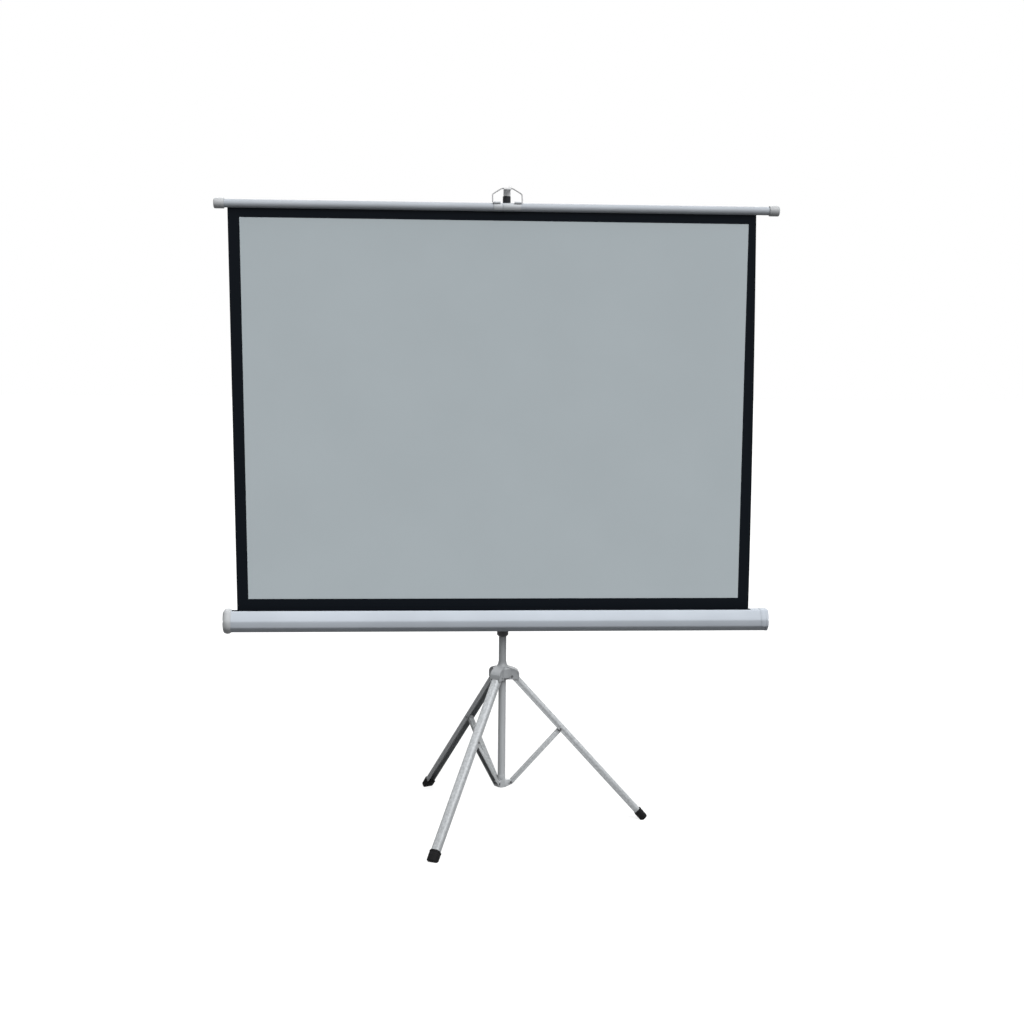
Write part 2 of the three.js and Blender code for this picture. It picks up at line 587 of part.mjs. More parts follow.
function addTripod() {
  const names = ["right", "rear", "front"];
  const reach = LINK * Math.sin(SPREAD);
  const drop = LINK * Math.cos(SPREAD);
  place(column, "hub", hubGeometry().translate(0, 0, HUB_Z), SILVER_PAINT);
  place(column, "spider", spiderGeometry().translate(0, 0, SPIDER_Z), SILVER_PAINT);
  const rodBottom = -SPIDER_BELOW_PIVOT + SPIDER_FLOOR + GAP;
  const rodTop = HUB_Z - SPIDER_Z + ROD_ABOVE_HUB;
  // The rod is as thick as the tube up to the hub, where its shoulder stops the legs' spread.
  const shoulderBottom = SPIDER_ABOVE_PIVOT + GAP;
  const shoulderTop = HUB_Z - HUB_BELOW_PIVOT - SPIDER_Z - GAP;
  const rodBody = turned("z", [
    [POLE_BORE, rodBottom],
    [POLE_RADIUS, rodBottom],
    [POLE_RADIUS, shoulderBottom],
    [TUBE_RADIUS, shoulderBottom],
    [TUBE_RADIUS, shoulderTop],
    [POLE_RADIUS, shoulderTop],
    [POLE_RADIUS, rodTop],
    [POLE_BORE, rodTop],
  ]);
  const centreRod = cut(rodBody, rodRivetHole());
  place(column, "centre_rod", centreRod.translate(0, 0, SPIDER_Z), SILVER_PAINT);
  const rodRivet = rivet(2 * (POLE_RADIUS + GAP + SPIDER_WALL));
  place(column, "rod_rivet", rodRivet.translate(0, 0, SPIDER_Z + ROD_RIVET_Z), DARK_STEEL);
  legAngles().forEach((angle, i) => {
    const arm = new THREE.Group();
    arm.rotation.z = angle;
    column.add(arm);
    const leg = new THREE.Group();
    leg.position.set(PIVOT_OFFSET, 0, HUB_Z);
    leg.rotation.y = -SPREAD;
    arm.add(leg);
    const strut = new THREE.Group();
    strut.position.set(PIVOT_OFFSET + reach, 0, HUB_Z - drop);
    strut.rotation.y = SPREAD;
    arm.add(strut);
    place(leg, `leg_${names[i]}`, legGeometry(), SILVER_PAINT);
    place(leg, `foot_${names[i]}`, footGeometry(), RUBBER);
    place(leg, `strut_rivet_${names[i]}`, rivet(LEG_WIDTH).translate(0, 0, -LINK), DARK_STEEL);
    place(strut, `strut_${names[i]}`, strutGeometry(), SILVER_PAINT);
    place(strut, `spider_rivet_${names[i]}`, rivet(STRUT_WIDTH).translate(0, 0, -LINK), DARK_STEEL);
    const hubRivet = rivet(HOOD_WIDTH).translate(PIVOT_OFFSET, 0, HUB_Z);
    place(arm, `hub_rivet_${names[i]}`, hubRivet, DARK_STEEL);
  });
}

// Thumb knob on a stem along +Y, with its stem's tip at the origin
function knobGeometry(stemLength) {
  const outline = new THREE.Shape();
  const steps = KNOB_LOBES * ARC_STEPS;
  for (let i = 0; i < steps; i += 1) {
    const angle = (i * 2 * Math.PI) / steps;
    const radius = KNOB_RADIUS - (KNOB_LOBE_DEPTH * (1 - Math.cos(KNOB_LOBES * angle))) / 2;
    const x = radius * Math.cos(angle);
    const y = radius * Math.sin(angle);
    if (i === 0) outline.moveTo(x, y);
    else outline.lineTo(x, y);
  }
  const head = extrudeY(outline, KNOB_THICKNESS).translate(0, stemLength + KNOB_THICKNESS / 2, 0);
  return join(head, rod("y", KNOB_STEM_RADIUS, 0, stemLength + KNOB_THICKNESS / 2, SMALL_SIDES));
}

function addColumn() {
  const tubeBottom = HUB_Z - HUB_BELOW_PIVOT;
  place(column, "column_tube", tube("z", TUBE_RADIUS, TUBE_BORE, tubeBottom, TUBE_TOP_Z), SILVER_PAINT);

  const collarTop = TUBE_TOP_Z + COLLAR_ABOVE_TUBE;
  const collarBottom = collarTop - COLLAR_HEIGHT;
  const collarRadius = TUBE_RADIUS + GAP + COLLAR_WALL;
  const collarChamfer = COLLAR_WALL / 2;
  const collarBody = turned("z", [
    [TUBE_RADIUS + GAP, collarBottom],
    [collarRadius - collarChamfer, collarBottom],
    [collarRadius, collarBottom + collarChamfer],
    [collarRadius, collarTop - collarChamfer],
    [collarRadius - collarChamfer, collarTop],
    [POLE_RADIUS + GAP, collarTop],
    [POLE_RADIUS + GAP, TUBE_TOP_Z + GAP],
    [TUBE_RADIUS + GAP, TUBE_TOP_Z + GAP],
  ]);
  const collarKnobZ = (TUBE_TOP_Z + collarTop) / 2;
  const bossEnd = collarRadius + KNOB_BOSS_REACH;
  const collarBoss = rod("y", KNOB_BOSS_RADIUS, TUBE_RADIUS + COLLAR_WALL / 2, bossEnd, INNER_SIDES);
  const stemHole = rod("y", KNOB_STEM_RADIUS + GAP, 0, bossEnd + THROUGH, SMALL_SIDES);
  const collar = cut(
    join(collarBody, collarBoss.translate(0, 0, collarKnobZ)),
    stemHole.translate(0, 0, collarKnobZ),
  );
  place(column, "pole_collar", collar, BLACK_PLASTIC);
  const poleKnob = place(
    column,
    "pole_knob",
    knobGeometry(bossEnd - POLE_RADIUS),
    BLACK_PLASTIC,
  );
  poleKnob.position.set(0, POLE_RADIUS + GAP, collarKnobZ);

  const poleTop = HEAD_TOP_Z - HOOK_ROOT - GAP;
  const poleBottom = poleTop - POLE_LENGTH;
  place(column, "extension_pole", tube("z", POLE_RADIUS, POLE_BORE, poleBottom, poleTop), SILVER_PAINT);
  const guide = [
    [0, poleBottom - GUIDE_FLANGE],
    [POLE_RADIUS, poleBottom - GUIDE_FLANGE],
    [POLE_RADIUS, poleBottom - GAP],
    [POLE_BORE - GAP, poleBottom - GAP],
    [POLE_BORE - GAP, poleBottom + GUIDE_SPIGOT],
    [0, poleBottom + GUIDE_SPIGOT],
  ];
  place(column, "pole_guide", turned("z", guide, INNER_SIDES), BLACK_PLASTIC);
}

// Case outline in (y, z), counter-clockwise
function caseOutline() {
  const front = CASE_BACK_Y - CASE_DEPTH;
  const bottom = CASE_TOP_Z - CASE_HEIGHT;
  const ridge = CASE_TOP_Z - UPPER_FACE_HEIGHT;
  const corners = [
    [front + UPPER_FACE_SETBACK, CASE_TOP_Z],
    [front, ridge],
    [front + MIDDLE_FACE_UNDERCUT, ridge - MIDDLE_FACE_HEIGHT],
    [front + MIDDLE_FACE_UNDERCUT + LOWER_CHAMFER, bottom],
    [CASE_BACK_Y - BACK_CHAMFER, bottom],
    [CASE_BACK_Y, bottom + BACK_CHAMFER],
    [CASE_BACK_Y, CASE_TOP_Z - BACK_CHAMFER],
    [CASE_BACK_Y - BACK_CHAMFER, CASE_TOP_Z],
  ];
  return counterClockwise(corners.map(([y, z]) => new THREE.Vector2(y, z)));
}

function boltPlaces() {
  const places = [];
  for (const sideX of [-1, 1]) {
    for (const sideZ of [-1, 1]) {
      places.push([(sideX * BOLT_SPACING_X) / 2, ROLLER_Z + (sideZ * BOLT_SPACING_Z) / 2]);
    }
  }
  return places;
}

function boltHoles() {
  const from = CASE_BACK_Y - CASE_WALL - THROUGH;
  const to = CASE_BACK_Y + BRACKET_THICKNESS + THROUGH;
  return boltPlaces().map(([x, z]) => rod("y", BOLT_RADIUS + GAP, from, to, SMALL_SIDES).translate(x, 0, z));
}

function addCase() {
  const outline = caseOutline();
  const half = CASE_LENGTH / 2;
  const shellEnd = half - CAP_END_WALL - GAP;
  const shellCutters = boltHoles().map((hole) => hole.translate(COLUMN_X - CASE_X, 0, 0));
  shellCutters.push(
    extrudeX(
      roundedShape(grow(outline, -CASE_WALL), CASE_CORNER_RADIUS - CASE_WALL),
      -shellEnd - THROUGH,
      shellEnd + THROUGH,
    ),
    box(CASE_LENGTH, SLOT_WIDTH, 2 * (CASE_WALL + THROUGH), 0, FABRIC_Y, CASE_TOP_Z),
  );
  const shell = extrudeX(roundedShape(outline, CASE_CORNER_RADIUS), -shellEnd, shellEnd);
  place(housing, "case_shell", cut(shell, ...shellCutters), CASE_PAINT);
  place(housing, "case_cap_left", leftCapGeometry(outline), GREY_PLASTIC);
  place(housing, "case_cap_right", rightCapGeometry(outline), GREY_PLASTIC);
}

// One cross-section of a cap at x, with the case's outline grown by a distance
function capRing(outline, x, distance) {
  const radius = CASE_CORNER_RADIUS + Math.max(distance, 0);
  const points = roundedShape(grow(outline, distance), radius).getPoints(BEND_STEPS);
  if (points[0].equals(points[points.length - 1])) points.pop();
  return { x, points };
}

// A solid through cross-sections with equal numbers of points, in order of growing x
function loftX(rings) {
  const count = rings[0].points.length;
  const last = (rings.length - 1) * count;
  const positions = rings.flatMap(({ x, points }) => points.flatMap((point) => [x, point.x, point.y]));
  const index = [];
  for (let start = 0; start < last; start += count) {
    for (let i = 0; i < count; i += 1) {
      const next = (i + 1) % count;
      index.push(start + i, start + next, start + count + next);
      index.push(start + i, start + count + next, start + count + i);
    }
  }
  for (let i = 1; i < count - 1; i += 1) {
    index.push(0, i + 1, i);
    index.push(last, last + i, last + i + 1);
  }
  const geometry = new THREE.BufferGeometry();
  geometry.setAttribute("position", new THREE.Float32BufferAttribute(positions, 3));
  geometry.setIndex(index);
  return geometry;
}

// Adds the roller's socket to a cap's body, and cuts the spindle's hole and the groove across the ridge
function finishCap(body, side) {
  const end = CASE_LENGTH / 2;
  const ends = [side * (end - CAP_END_WALL / 2), side * (end - CAP_END_WALL - SOCKET_LENGTH)];
  const from = Math.min(...ends);
  const to = Math.max(...ends);
  const socket = rod("x", SOCKET_RADIUS, from, to, INNER_SIDES).translate(0, ROLLER_Y, ROLLER_Z);
  const hole = rod("x", SPINDLE_RADIUS + GAP, from, to, SMALL_SIDES).translate(0, ROLLER_Y, ROLLER_Z);
  const groove = rod("y", CAP_GROOVE_RADIUS, -2 * CASE_DEPTH, 0, SMALL_SIDES);
  groove.translate(side * (end + CAP_GROOVE_RADIUS / 2), 0, CASE_TOP_Z - UPPER_FACE_HEIGHT);
  return cut(join(body, socket), hole, groove);
}

// Left end cap: a cup over the shell's end whose rim bulges all round
function leftCapGeometry(outline) {
  const crownX = BULGE_HALF_LENGTH - CASE_LENGTH / 2;
  const runOut = Math.PI - Math.asin(1 - (BULGE_RIM - BULGE_LIP) / BULGE_HEIGHT);
  const rings = Array.from({ length: ARC_STEPS + 1 }, (_, i) => {
    const angle = (i * runOut) / ARC_STEPS;
    const rise = BULGE_RIM - BULGE_HEIGHT * (1 - Math.sin(angle));
    return capRing(outline, crownX - BULGE_HALF_LENGTH * Math.cos(angle), rise);
  });
  const shellEnd = CAP_END_WALL - CASE_LENGTH / 2;
  const pocket = extrudeX(
    roundedShape(grow(outline, GAP), CASE_CORNER_RADIUS),
    shellEnd,
    crownX + BULGE_HALF_LENGTH + THROUGH,
  );
  return finishCap(cut(loftX(rings), pocket), -1);
}

// Right end cap: a plate nearly flush with the shell, on a spigot inside the shell's end
function rightCapGeometry(outline) {
  const end = CASE_LENGTH / 2;
  const inner = end - CAP_END_WALL;
  const rings = [
    capRing(outline, inner, PLUG_RIM),
    capRing(outline, end - PLUG_ROUNDING, PLUG_RIM),
    capRing(outline, end - PLUG_ROUNDING * (1 - Math.SQRT1_2), PLUG_RIM - PLUG_ROUNDING * (1 - Math.SQRT1_2)),
    capRing(outline, end, PLUG_RIM - PLUG_ROUNDING),
  ];
  const spigotSize = -CASE_WALL - GAP;
  const spigotEnd = inner - PLUG_SPIGOT_LENGTH;
  const spigot = extrudeX(
    roundedShape(grow(outline, spigotSize), CASE_CORNER_RADIUS + spigotSize),
    spigotEnd,
    inner + THROUGH,
  );
  const bore = extrudeX(
    roundedShape(grow(outline, spigotSize - PLUG_SPIGOT_WALL), CASE_CORNER_RADIUS + spigotSize),
    spigotEnd - THROUGH,
    inner,
  );
  return finishCap(cut(join(loftX(rings), spigot), bore), 1);
}

// A bent wire's centre line through given points, with one extrusion step to each point
class WireCurve extends THREE.Curve {
  constructor(points) {
    super();
    this.points = points;
  }

  getPointAt(share) {
    return this.points[Math.round(share * (this.points.length - 1))];
  }

  getTangentAt(share) {
    const i = Math.round(share * (this.points.length - 1));
    const before = this.points[Math.max(i - 1, 0)];
    const after = this.points[Math.min(i + 1, this.points.length - 1)];
    return after.clone().sub(before).normalize();
  }
}

class SpringCurve extends THREE.Curve {
  getPoint(share) {
    const angle = share * SPRING_TURNS * 2 * Math.PI;
    const y = SPRING_RADIUS * Math.cos(angle);
    const z = SPRING_RADIUS * Math.sin(angle);
    return new THREE.Vector3(share * SPRING_LENGTH, y, z);
  }
}

function roundSection(radius, sides) {
  const points = Array.from({ length: sides }, (_, i) => {
    const angle = (i * 2 * Math.PI) / sides;
    return new THREE.Vector2(radius * Math.cos(angle), radius * Math.sin(angle));
  });
  return new THREE.Shape(points);
}

function addRoller() {
  const roller = new THREE.Group();
  roller.position.set(0, ROLLER_Y, ROLLER_Z);
  housing.add(roller);
  const socketEnd = CASE_LENGTH / 2 - CAP_END_WALL - SOCKET_LENGTH;
  const tubeEnd = socketEnd - ROLLER_END_PLAY;
  const spindleEnd = CASE_LENGTH / 2 - CAP_END_WALL / 2 - GAP;
  place(roller, "roller_tube", tube("x", ROLLER_RADIUS, ROLLER_BORE, -tubeEnd, tubeEnd, INNER_SIDES), STEEL);
  const woundEnd = FABRIC_WIDTH / 2;
  const wound = tube("x", WOUND_RADIUS, ROLLER_RADIUS + GAP, -woundEnd, woundEnd, SIDES);
  place(roller, "wound_fabric", wound.translate(SHEET_X - CASE_X, 0, 0), FABRIC_BLACK);
  const plugBore = SPINDLE_RADIUS + GAP;
  const leftPlug = tube("x", ROLLER_BORE - GAP, plugBore, -tubeEnd, -tubeEnd + PLUG_LENGTH, INNER_SIDES);
  place(roller, "roller_plug_left", leftPlug, BLACK_PLASTIC);
  const rightPlug = tube("x", ROLLER_BORE - GAP, plugBore, tubeEnd - PLUG_LENGTH, tubeEnd, INNER_SIDES);
  place(roller, "roller_plug_right", rightPlug, BLACK_PLASTIC);
  const spindle = rod("x", SPINDLE_RADIUS, -spindleEnd, -spindleEnd + SPINDLE_LENGTH, SMALL_SIDES);
  place(roller, "spring_spindle", spindle, STEEL);
  const gudgeon = rod("x", SPINDLE_RADIUS, tubeEnd - PLUG_LENGTH, spindleEnd, SMALL_SIDES);
  place(roller, "roller_gudgeon", gudgeon, STEEL);
  const spring = new THREE.ExtrudeGeometry(roundSection(SPRING_WIRE_RADIUS, SPRING_SIDES), {
    steps: SPRING_TURNS * SPRING_STEPS,
    extrudePath: new SpringCurve(),
  });
  const springStart = -tubeEnd + PLUG_LENGTH + GAP + SPRING_WIRE_RADIUS;
  place(roller, "roller_spring", spring.translate(springStart, 0, 0), DARK_STEEL);
}

// Sheet: a panel that hangs from the bar by its hem bead, and the tail below it that winds up
function addFabric() {
  const lipY = BAR_SLOT_WIDTH / 2;
  const lipZ = BAR_Z - Math.sqrt(BAR_BORE ** 2 - lipY ** 2);
  const beadZ = lipZ + Math.sqrt((HEM_BEAD_RADIUS + GAP) ** 2 - lipY ** 2);
  const splitZ = ROLLER_Z + TAIL_HEIGHT;
  const sheet = new THREE.Group();
  sheet.position.set(SHEET_X, FABRIC_Y, 0);
  screen.add(sheet);
  const bead = rod("x", HEM_BEAD_RADIUS, -FABRIC_WIDTH / 2, FABRIC_WIDTH / 2, SMALL_SIDES);
  const hung = join(sheetPanel(splitZ, beadZ), bead.translate(0, 0, beadZ));
  place(sheet, "screen_fabric", hung, FABRIC_GREY);
  place(sheet, "fabric_tail", sheetPanel(ROLLER_Z, splitZ - GAP), FABRIC_GREY);
}

function sheetPanel(from, to) {
  return box(FABRIC_WIDTH, FABRIC_THICKNESS, to - from, 0, 0, (from + to) / 2);
}

// Sleeve on the tube, with a flat pad for the case's bracket and a boss for its clamp knob
function addCarrier() {
  const bore = TUBE_RADIUS + GAP;
  const top = CASE_TOP_Z - SLEEVE_DROP;
  const bottom = top - SLEEVE_HEIGHT;
  const body = turned("z", [
    [bore, bottom],
    [SLEEVE_RADIUS - SLEEVE_TAPER, bottom],
    [SLEEVE_RADIUS, bottom + SLEEVE_TAPER],
    [SLEEVE_RADIUS, top - SLEEVE_TAPER],
    [SLEEVE_RADIUS - SLEEVE_TAPER, top],
    [bore, top],
  ]);
  const pad = box(PAD_WIDTH, SLEEVE_RADIUS, BRACKET_HEIGHT, 0, -SLEEVE_RADIUS / 2, ROLLER_Z);
  const bossEnd = SLEEVE_RADIUS + KNOB_BOSS_REACH;
  const boss = rod("y", KNOB_BOSS_RADIUS, TUBE_RADIUS + SLEEVE_WALL / 2, bossEnd, INNER_SIDES);
  const stemHole = rod("y", KNOB_STEM_RADIUS + GAP, 0, bossEnd + THROUGH, SMALL_SIDES);
  const sleeve = cut(
    join(body, pad, boss.translate(0, 0, ROLLER_Z)),
    rod("z", bore, bottom - THROUGH, top + THROUGH),
    stemHole.translate(0, 0, ROLLER_Z),
  );
  place(column, "case_sleeve", sleeve, DARK_PLASTIC);
  const stemStart = TUBE_RADIUS + GAP;
  const sleeveKnob = place(column, "sleeve_knob", knobGeometry(bossEnd + GAP - stemStart), BLACK_PLASTIC);
  sleeveKnob.position.set(0, stemStart, ROLLER_Z);

  const plateY = CASE_BACK_Y + GAP + BRACKET_THICKNESS / 2;
  const plate = box(BRACKET_WIDTH, BRACKET_THICKNESS, BRACKET_HEIGHT, 0, plateY, ROLLER_Z);
  place(column, "case_bracket", cut(plate, ...boltHoles()), ZINC);
  const headUnder = CASE_BACK_Y + 2 * GAP + BRACKET_THICKNESS;
  const tip = CASE_BACK_Y - CASE_WALL - THROUGH / 2;
  const bolt = [
    [0, tip],
    [BOLT_RADIUS, tip],
    [BOLT_RADIUS, headUnder],
    [BOLT_HEAD_RADIUS, headUnder],
    [BOLT_RADIUS + BOLT_HEAD_CROWN, headUnder + BOLT_HEAD_HEIGHT],
    [0, headUnder + BOLT_HEAD_HEIGHT],
  ];
  boltPlaces().forEach(([x, z], i) => {
    place(column, `bracket_bolt_${i + 1}`, turned("y", bolt, SMALL_SIDES).translate(x, 0, z), STEEL);
  });
}

function addBar() {
  const half = BAR_LENGTH / 2;
  const barEnd = half - BAR_CAP_END_WALL - GAP;
  const slot = box(BAR_LENGTH, BAR_SLOT_WIDTH, BAR_RADIUS, 0, 0, -BAR_RADIUS);
  const bar = cut(tube("x", BAR_RADIUS, BAR_BORE, -barEnd, barEnd), slot);
  place(screen, "top_bar", bar.translate(0, FABRIC_Y, BAR_Z), CASE_PAINT);
  const capRadius = BAR_CAP_DIAMETER / 2;
  for (const [name, side] of [["left", -1], ["right", 1]]) {
    const rim = new THREE.Path();
    rim.moveTo(capRadius, half - BAR_CAP_ROUNDING);
    rim.quadraticCurveTo(capRadius, half, capRadius - BAR_CAP_ROUNDING, half);
    const inner = half - BAR_CAP_LENGTH;
    const profile = [
      [0, half - BAR_CAP_END_WALL],
      [BAR_RADIUS + GAP, half - BAR_CAP_END_WALL],
      [BAR_RADIUS + GAP, inner],
      [capRadius - BAR_CAP_CHAMFER, inner],
      [capRadius, inner + BAR_CAP_CHAMFER],
      ...rim.getPoints(BEND_STEPS).map((point) => [point.x, point.y]),
      [0, half],
    ];
    const cap = turned("x", profile.map(([radius, along]) => [radius, side * along]));
    place(screen, `bar_cap_${name}`, cap.translate(0, FABRIC_Y, BAR_Z), GREY_PLASTIC);
  }
}

// Clip: a plate curved over the bar's front, with a rolled knuckle for the bail at its outer end
function clipGeometry(from, to, knuckleFrom) {
  const inner = BAR_RADIUS + GAP;
  const outer = inner + CLIP_THICKNESS;
  const start = Math.PI - KNUCKLE_ANGLE;
  const end = Math.PI + CLIP_WRAP_ANGLE;
  const plate = new THREE.Shape();
  plate.absarc(0, 0, outer, start, end);
  plate.absarc(0, 0, inner, end, start, true);
  const knuckleTo = knuckleFrom + KNUCKLE_LENGTH;
  const knuckle = rod("x", KNUCKLE_RADIUS, knuckleFrom, knuckleTo, INNER_SIDES);
  const bore = rod("x", KNUCKLE_BORE, knuckleFrom - THROUGH, knuckleTo + THROUGH, SMALL_SIDES);
  const knuckleY = KNUCKLE_Y - FABRIC_Y;
  const knuckleZ = KNUCKLE_Z - BAR_Z;
  return cut(
    join(extrudeX(plate, from, to, ARC_STEPS), knuckle.translate(0, knuckleY, knuckleZ)),
    bore.translate(0, knuckleY, knuckleZ),
  );
}

function bailGeometry() {
  const corners = [
    [TRUNNION_LENGTH - BAIL_HALF_WIDTH, 0],
    [-BAIL_HALF_WIDTH, 0],
    [-BAIL_HALF_WIDTH, BAIL_SHOULDER],
    [-BAIL_TOP_HALF_WIDTH, BAIL_RISE],
    [BAIL_TOP_HALF_WIDTH, BAIL_RISE],
    [BAIL_HALF_WIDTH, BAIL_SHOULDER],
    [BAIL_HALF_WIDTH, 0],
    [BAIL_HALF_WIDTH - TRUNNION_LENGTH, 0],
  ].map(([x, z]) => new THREE.Vector3(x, 0, z));
  const points = corners.flatMap((corner, i) => {
    if (i === 0 || i === corners.length - 1) return [corner];
    const start = corner.clone().add(corners[i - 1].clone().sub(corner).setLength(BAIL_CORNER));
    const end = corner.clone().add(corners[i + 1].clone().sub(corner).setLength(BAIL_CORNER));
    return new THREE.QuadraticBezierCurve3(start, corner, end).getPoints(BEND_STEPS + 1);
  });
  return new THREE.ExtrudeGeometry(roundSection(WIRE_RADIUS, WIRE_SIDES), {
    steps: points.length - 1,
    extrudePath: new WireCurve(points),
  });
}

function addBail() {
  const clipEnd = BAIL_HALF_WIDTH - CLIP_END_GAP;
  const seam = CLIP_SEAM / 2;
  const left = clipGeometry(-clipEnd, CLIP_SEAM_X - seam, -clipEnd);
  const right = clipGeometry(CLIP_SEAM_X + seam, clipEnd, clipEnd - KNUCKLE_LENGTH);
  place(column, "bail_clip_left", left.translate(0, FABRIC_Y, BAR_Z), ZINC);
  place(column, "bail_clip_right", right.translate(0, FABRIC_Y, BAR_Z), ZINC);
  const bail = place(column, "bail", bailGeometry(), STEEL);
  bail.position.set(0, KNUCKLE_Y, KNUCKLE_Z);
  bail.rotation.x = -BAIL_TILT;
}

// Head over the pole's top, and the hook whose shelf carries the bail's top wire
function addHead() {
  const bore = POLE_RADIUS + GAP;
  const radius = bore + HEAD_WALL;
  const bottom = HEAD_TOP_Z - HEAD_HEIGHT;
  const roof = HEAD_TOP_Z - HOOK_ROOT;
  const body = turned("z", [
    [0, roof],
    [bore, roof],
    [bore, bottom],
    [radius, bottom],
    [radius, HEAD_TOP_Z - HEAD_WALL],
    [radius - HEAD_WALL, HEAD_TOP_Z],
    [0, HEAD_TOP_Z],
  ]);
  const plateFront = HOOK_PLATE_Y - HOOK_THICKNESS;
  const plateY = (HOOK_PLATE_Y + plateFront) / 2;
  const slotHeight = HOOK_ROOT - HEAD_WALL;
  const slotTop = HEAD_TOP_Z + THROUGH;
  const slot = box(
    HOOK_ROOT_WIDTH + 2 * GAP,
    HOOK_THICKNESS + 2 * GAP,
    slotHeight + THROUGH,
    0,
    plateY,
    slotTop - (slotHeight + THROUGH) / 2,
  );
  place(column, "pole_head", cut(body, slot), BLACK_PLASTIC);

  const shelfBottom = SHELF_Z - HOOK_THICKNESS;
  const forwardWireY = KNUCKLE_Y + BAIL_RISE * Math.sin(BAIL_TILT - BAIL_SWING);
  const lipInner = forwardWireY - WIRE_RADIUS - 2 * GAP;
  const lipOuter = lipInner - HOOK_THICKNESS;
  const fingerTop = SHELF_Z + HOOK_FINGER;
  const rootBottom = HEAD_TOP_Z - slotHeight + GAP;
  const profile = polygon(
    [HOOK_PLATE_Y, rootBottom],
    [HOOK_PLATE_Y, SHELF_Z],
    [lipInner, SHELF_Z],
    [lipInner, fingerTop],
    [lipOuter, fingerTop],
    [lipOuter, shelfBottom + HOOK_BEND],
    [lipOuter + HOOK_BEND, shelfBottom],
    [plateFront, shelfBottom],
    [plateFront, rootBottom],
  );
  const half = HOOK_WIDTH / 2;
  const strip = extrudeX(profile, -half, half);
  const lipTop = SHELF_Z + HOOK_LIP;
  const trimWidth = HOOK_WIDTH - HOOK_FINGER_WIDTH + THROUGH;
  const trimDepth = HOOK_THICKNESS + 2 * GAP;
  const trimHeight = HOOK_FINGER - HOOK_LIP + THROUGH;
  const trim = box(trimWidth, trimDepth, trimHeight);
  trim.translate(-half - THROUGH + trimWidth / 2, (lipInner + lipOuter) / 2, lipTop + trimHeight / 2);
  const shoulders = [-1, 1].map((side) => {
    const width = (HOOK_WIDTH - HOOK_ROOT_WIDTH) / 2 + THROUGH;
    const height = HOOK_ROOT + THROUGH;
    const x = side * (HOOK_ROOT_WIDTH / 2 + width / 2);
    return box(width, 2 * HOOK_THICKNESS, height, x, plateY, HEAD_TOP_Z + GAP - height / 2);
  });
  place(column, "pole_hook", cut(strip, trim, ...shoulders), STEEL);
}

addTripod();
addColumn();
addCase();
addRoller();
addFabric();
addCarrier();
addBar();
addBail();
addHead();

export default screen;
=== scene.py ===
"""Finishes a tripod projection screen: bordered sheet, roller case, telescopic column and folding tripod."""

import json
import math

import bpy
from mathutils import Matrix, Vector

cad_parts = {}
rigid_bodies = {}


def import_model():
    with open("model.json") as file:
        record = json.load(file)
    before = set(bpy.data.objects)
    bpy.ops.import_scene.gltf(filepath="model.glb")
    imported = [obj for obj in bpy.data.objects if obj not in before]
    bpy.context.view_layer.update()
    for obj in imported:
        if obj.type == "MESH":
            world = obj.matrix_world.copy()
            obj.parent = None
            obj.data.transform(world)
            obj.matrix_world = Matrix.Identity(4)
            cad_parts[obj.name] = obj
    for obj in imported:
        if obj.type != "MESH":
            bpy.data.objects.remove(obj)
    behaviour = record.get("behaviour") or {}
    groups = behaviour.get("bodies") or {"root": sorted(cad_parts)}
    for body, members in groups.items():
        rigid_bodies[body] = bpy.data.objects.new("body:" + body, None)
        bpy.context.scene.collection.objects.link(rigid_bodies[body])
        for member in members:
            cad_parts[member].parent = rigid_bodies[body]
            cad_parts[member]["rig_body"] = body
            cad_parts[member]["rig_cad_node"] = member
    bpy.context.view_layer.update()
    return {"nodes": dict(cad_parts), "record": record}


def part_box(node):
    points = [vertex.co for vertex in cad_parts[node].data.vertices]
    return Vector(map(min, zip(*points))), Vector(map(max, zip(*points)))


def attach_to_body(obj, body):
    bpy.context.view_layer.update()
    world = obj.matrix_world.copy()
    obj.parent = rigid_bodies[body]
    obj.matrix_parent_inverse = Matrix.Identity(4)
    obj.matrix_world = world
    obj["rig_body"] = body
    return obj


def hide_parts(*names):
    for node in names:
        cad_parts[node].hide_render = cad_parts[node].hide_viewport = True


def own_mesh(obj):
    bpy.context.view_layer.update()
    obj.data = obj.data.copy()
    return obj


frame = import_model()

bl_info = {
    "name": "Tripod Projection Screen",
    "version": (1, 0, 0),
    "blender": (4, 5, 0),
    "location": "View3D > Sidebar > Screen",
    "description": "Gives a tripod projection screen its sheet, finishes and studio",
    "category": "Object",
}

# Names and places from the frame, in metres
SIDES = ("left", "right")
LEGS = ("right", "rear", "front")
NODE_BODY = {n: body for body, nodes in frame["record"]["behaviour"]["bodies"].items() for n in nodes}
NODE_SLOT = {row["node"]: row["material_slot"] for row in frame["record"]["subparts"]}
TAIL_LOW, TAIL_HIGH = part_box("fabric_tail")
PANEL_LOW, PANEL_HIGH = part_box("screen_fabric")
CASE_LOW, CASE_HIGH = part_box("case_shell")
SHEET_WIDTH = TAIL_HIGH.x - TAIL_LOW.x
SHEET_MIDDLE_X = (TAIL_LOW.x + TAIL_HIGH.x) / 2
UP = Vector((0, 0, 1))

# Widths of rounded edges, in metres
BAR_EDGE = 0.0002
ROLLED_EDGE = 0.0003  # tubes, channels, bolts and the case
PLATE_EDGE = 0.0004  # clips, hook and case caps
BRACKET_EDGE = 0.0005  # bracket and feet
CAP_EDGE = 0.0006  # bar caps, bail and pole head
SPIDER_EDGE = 0.0007
CLAMP_EDGE = 0.0008  # collar and sleeve
CAST_EDGE = 0.0009  # hub and rivets
KNOB_EDGE = 0.0014
SHARP_ANGLE = math.radians(32)  # edges past this are rounded

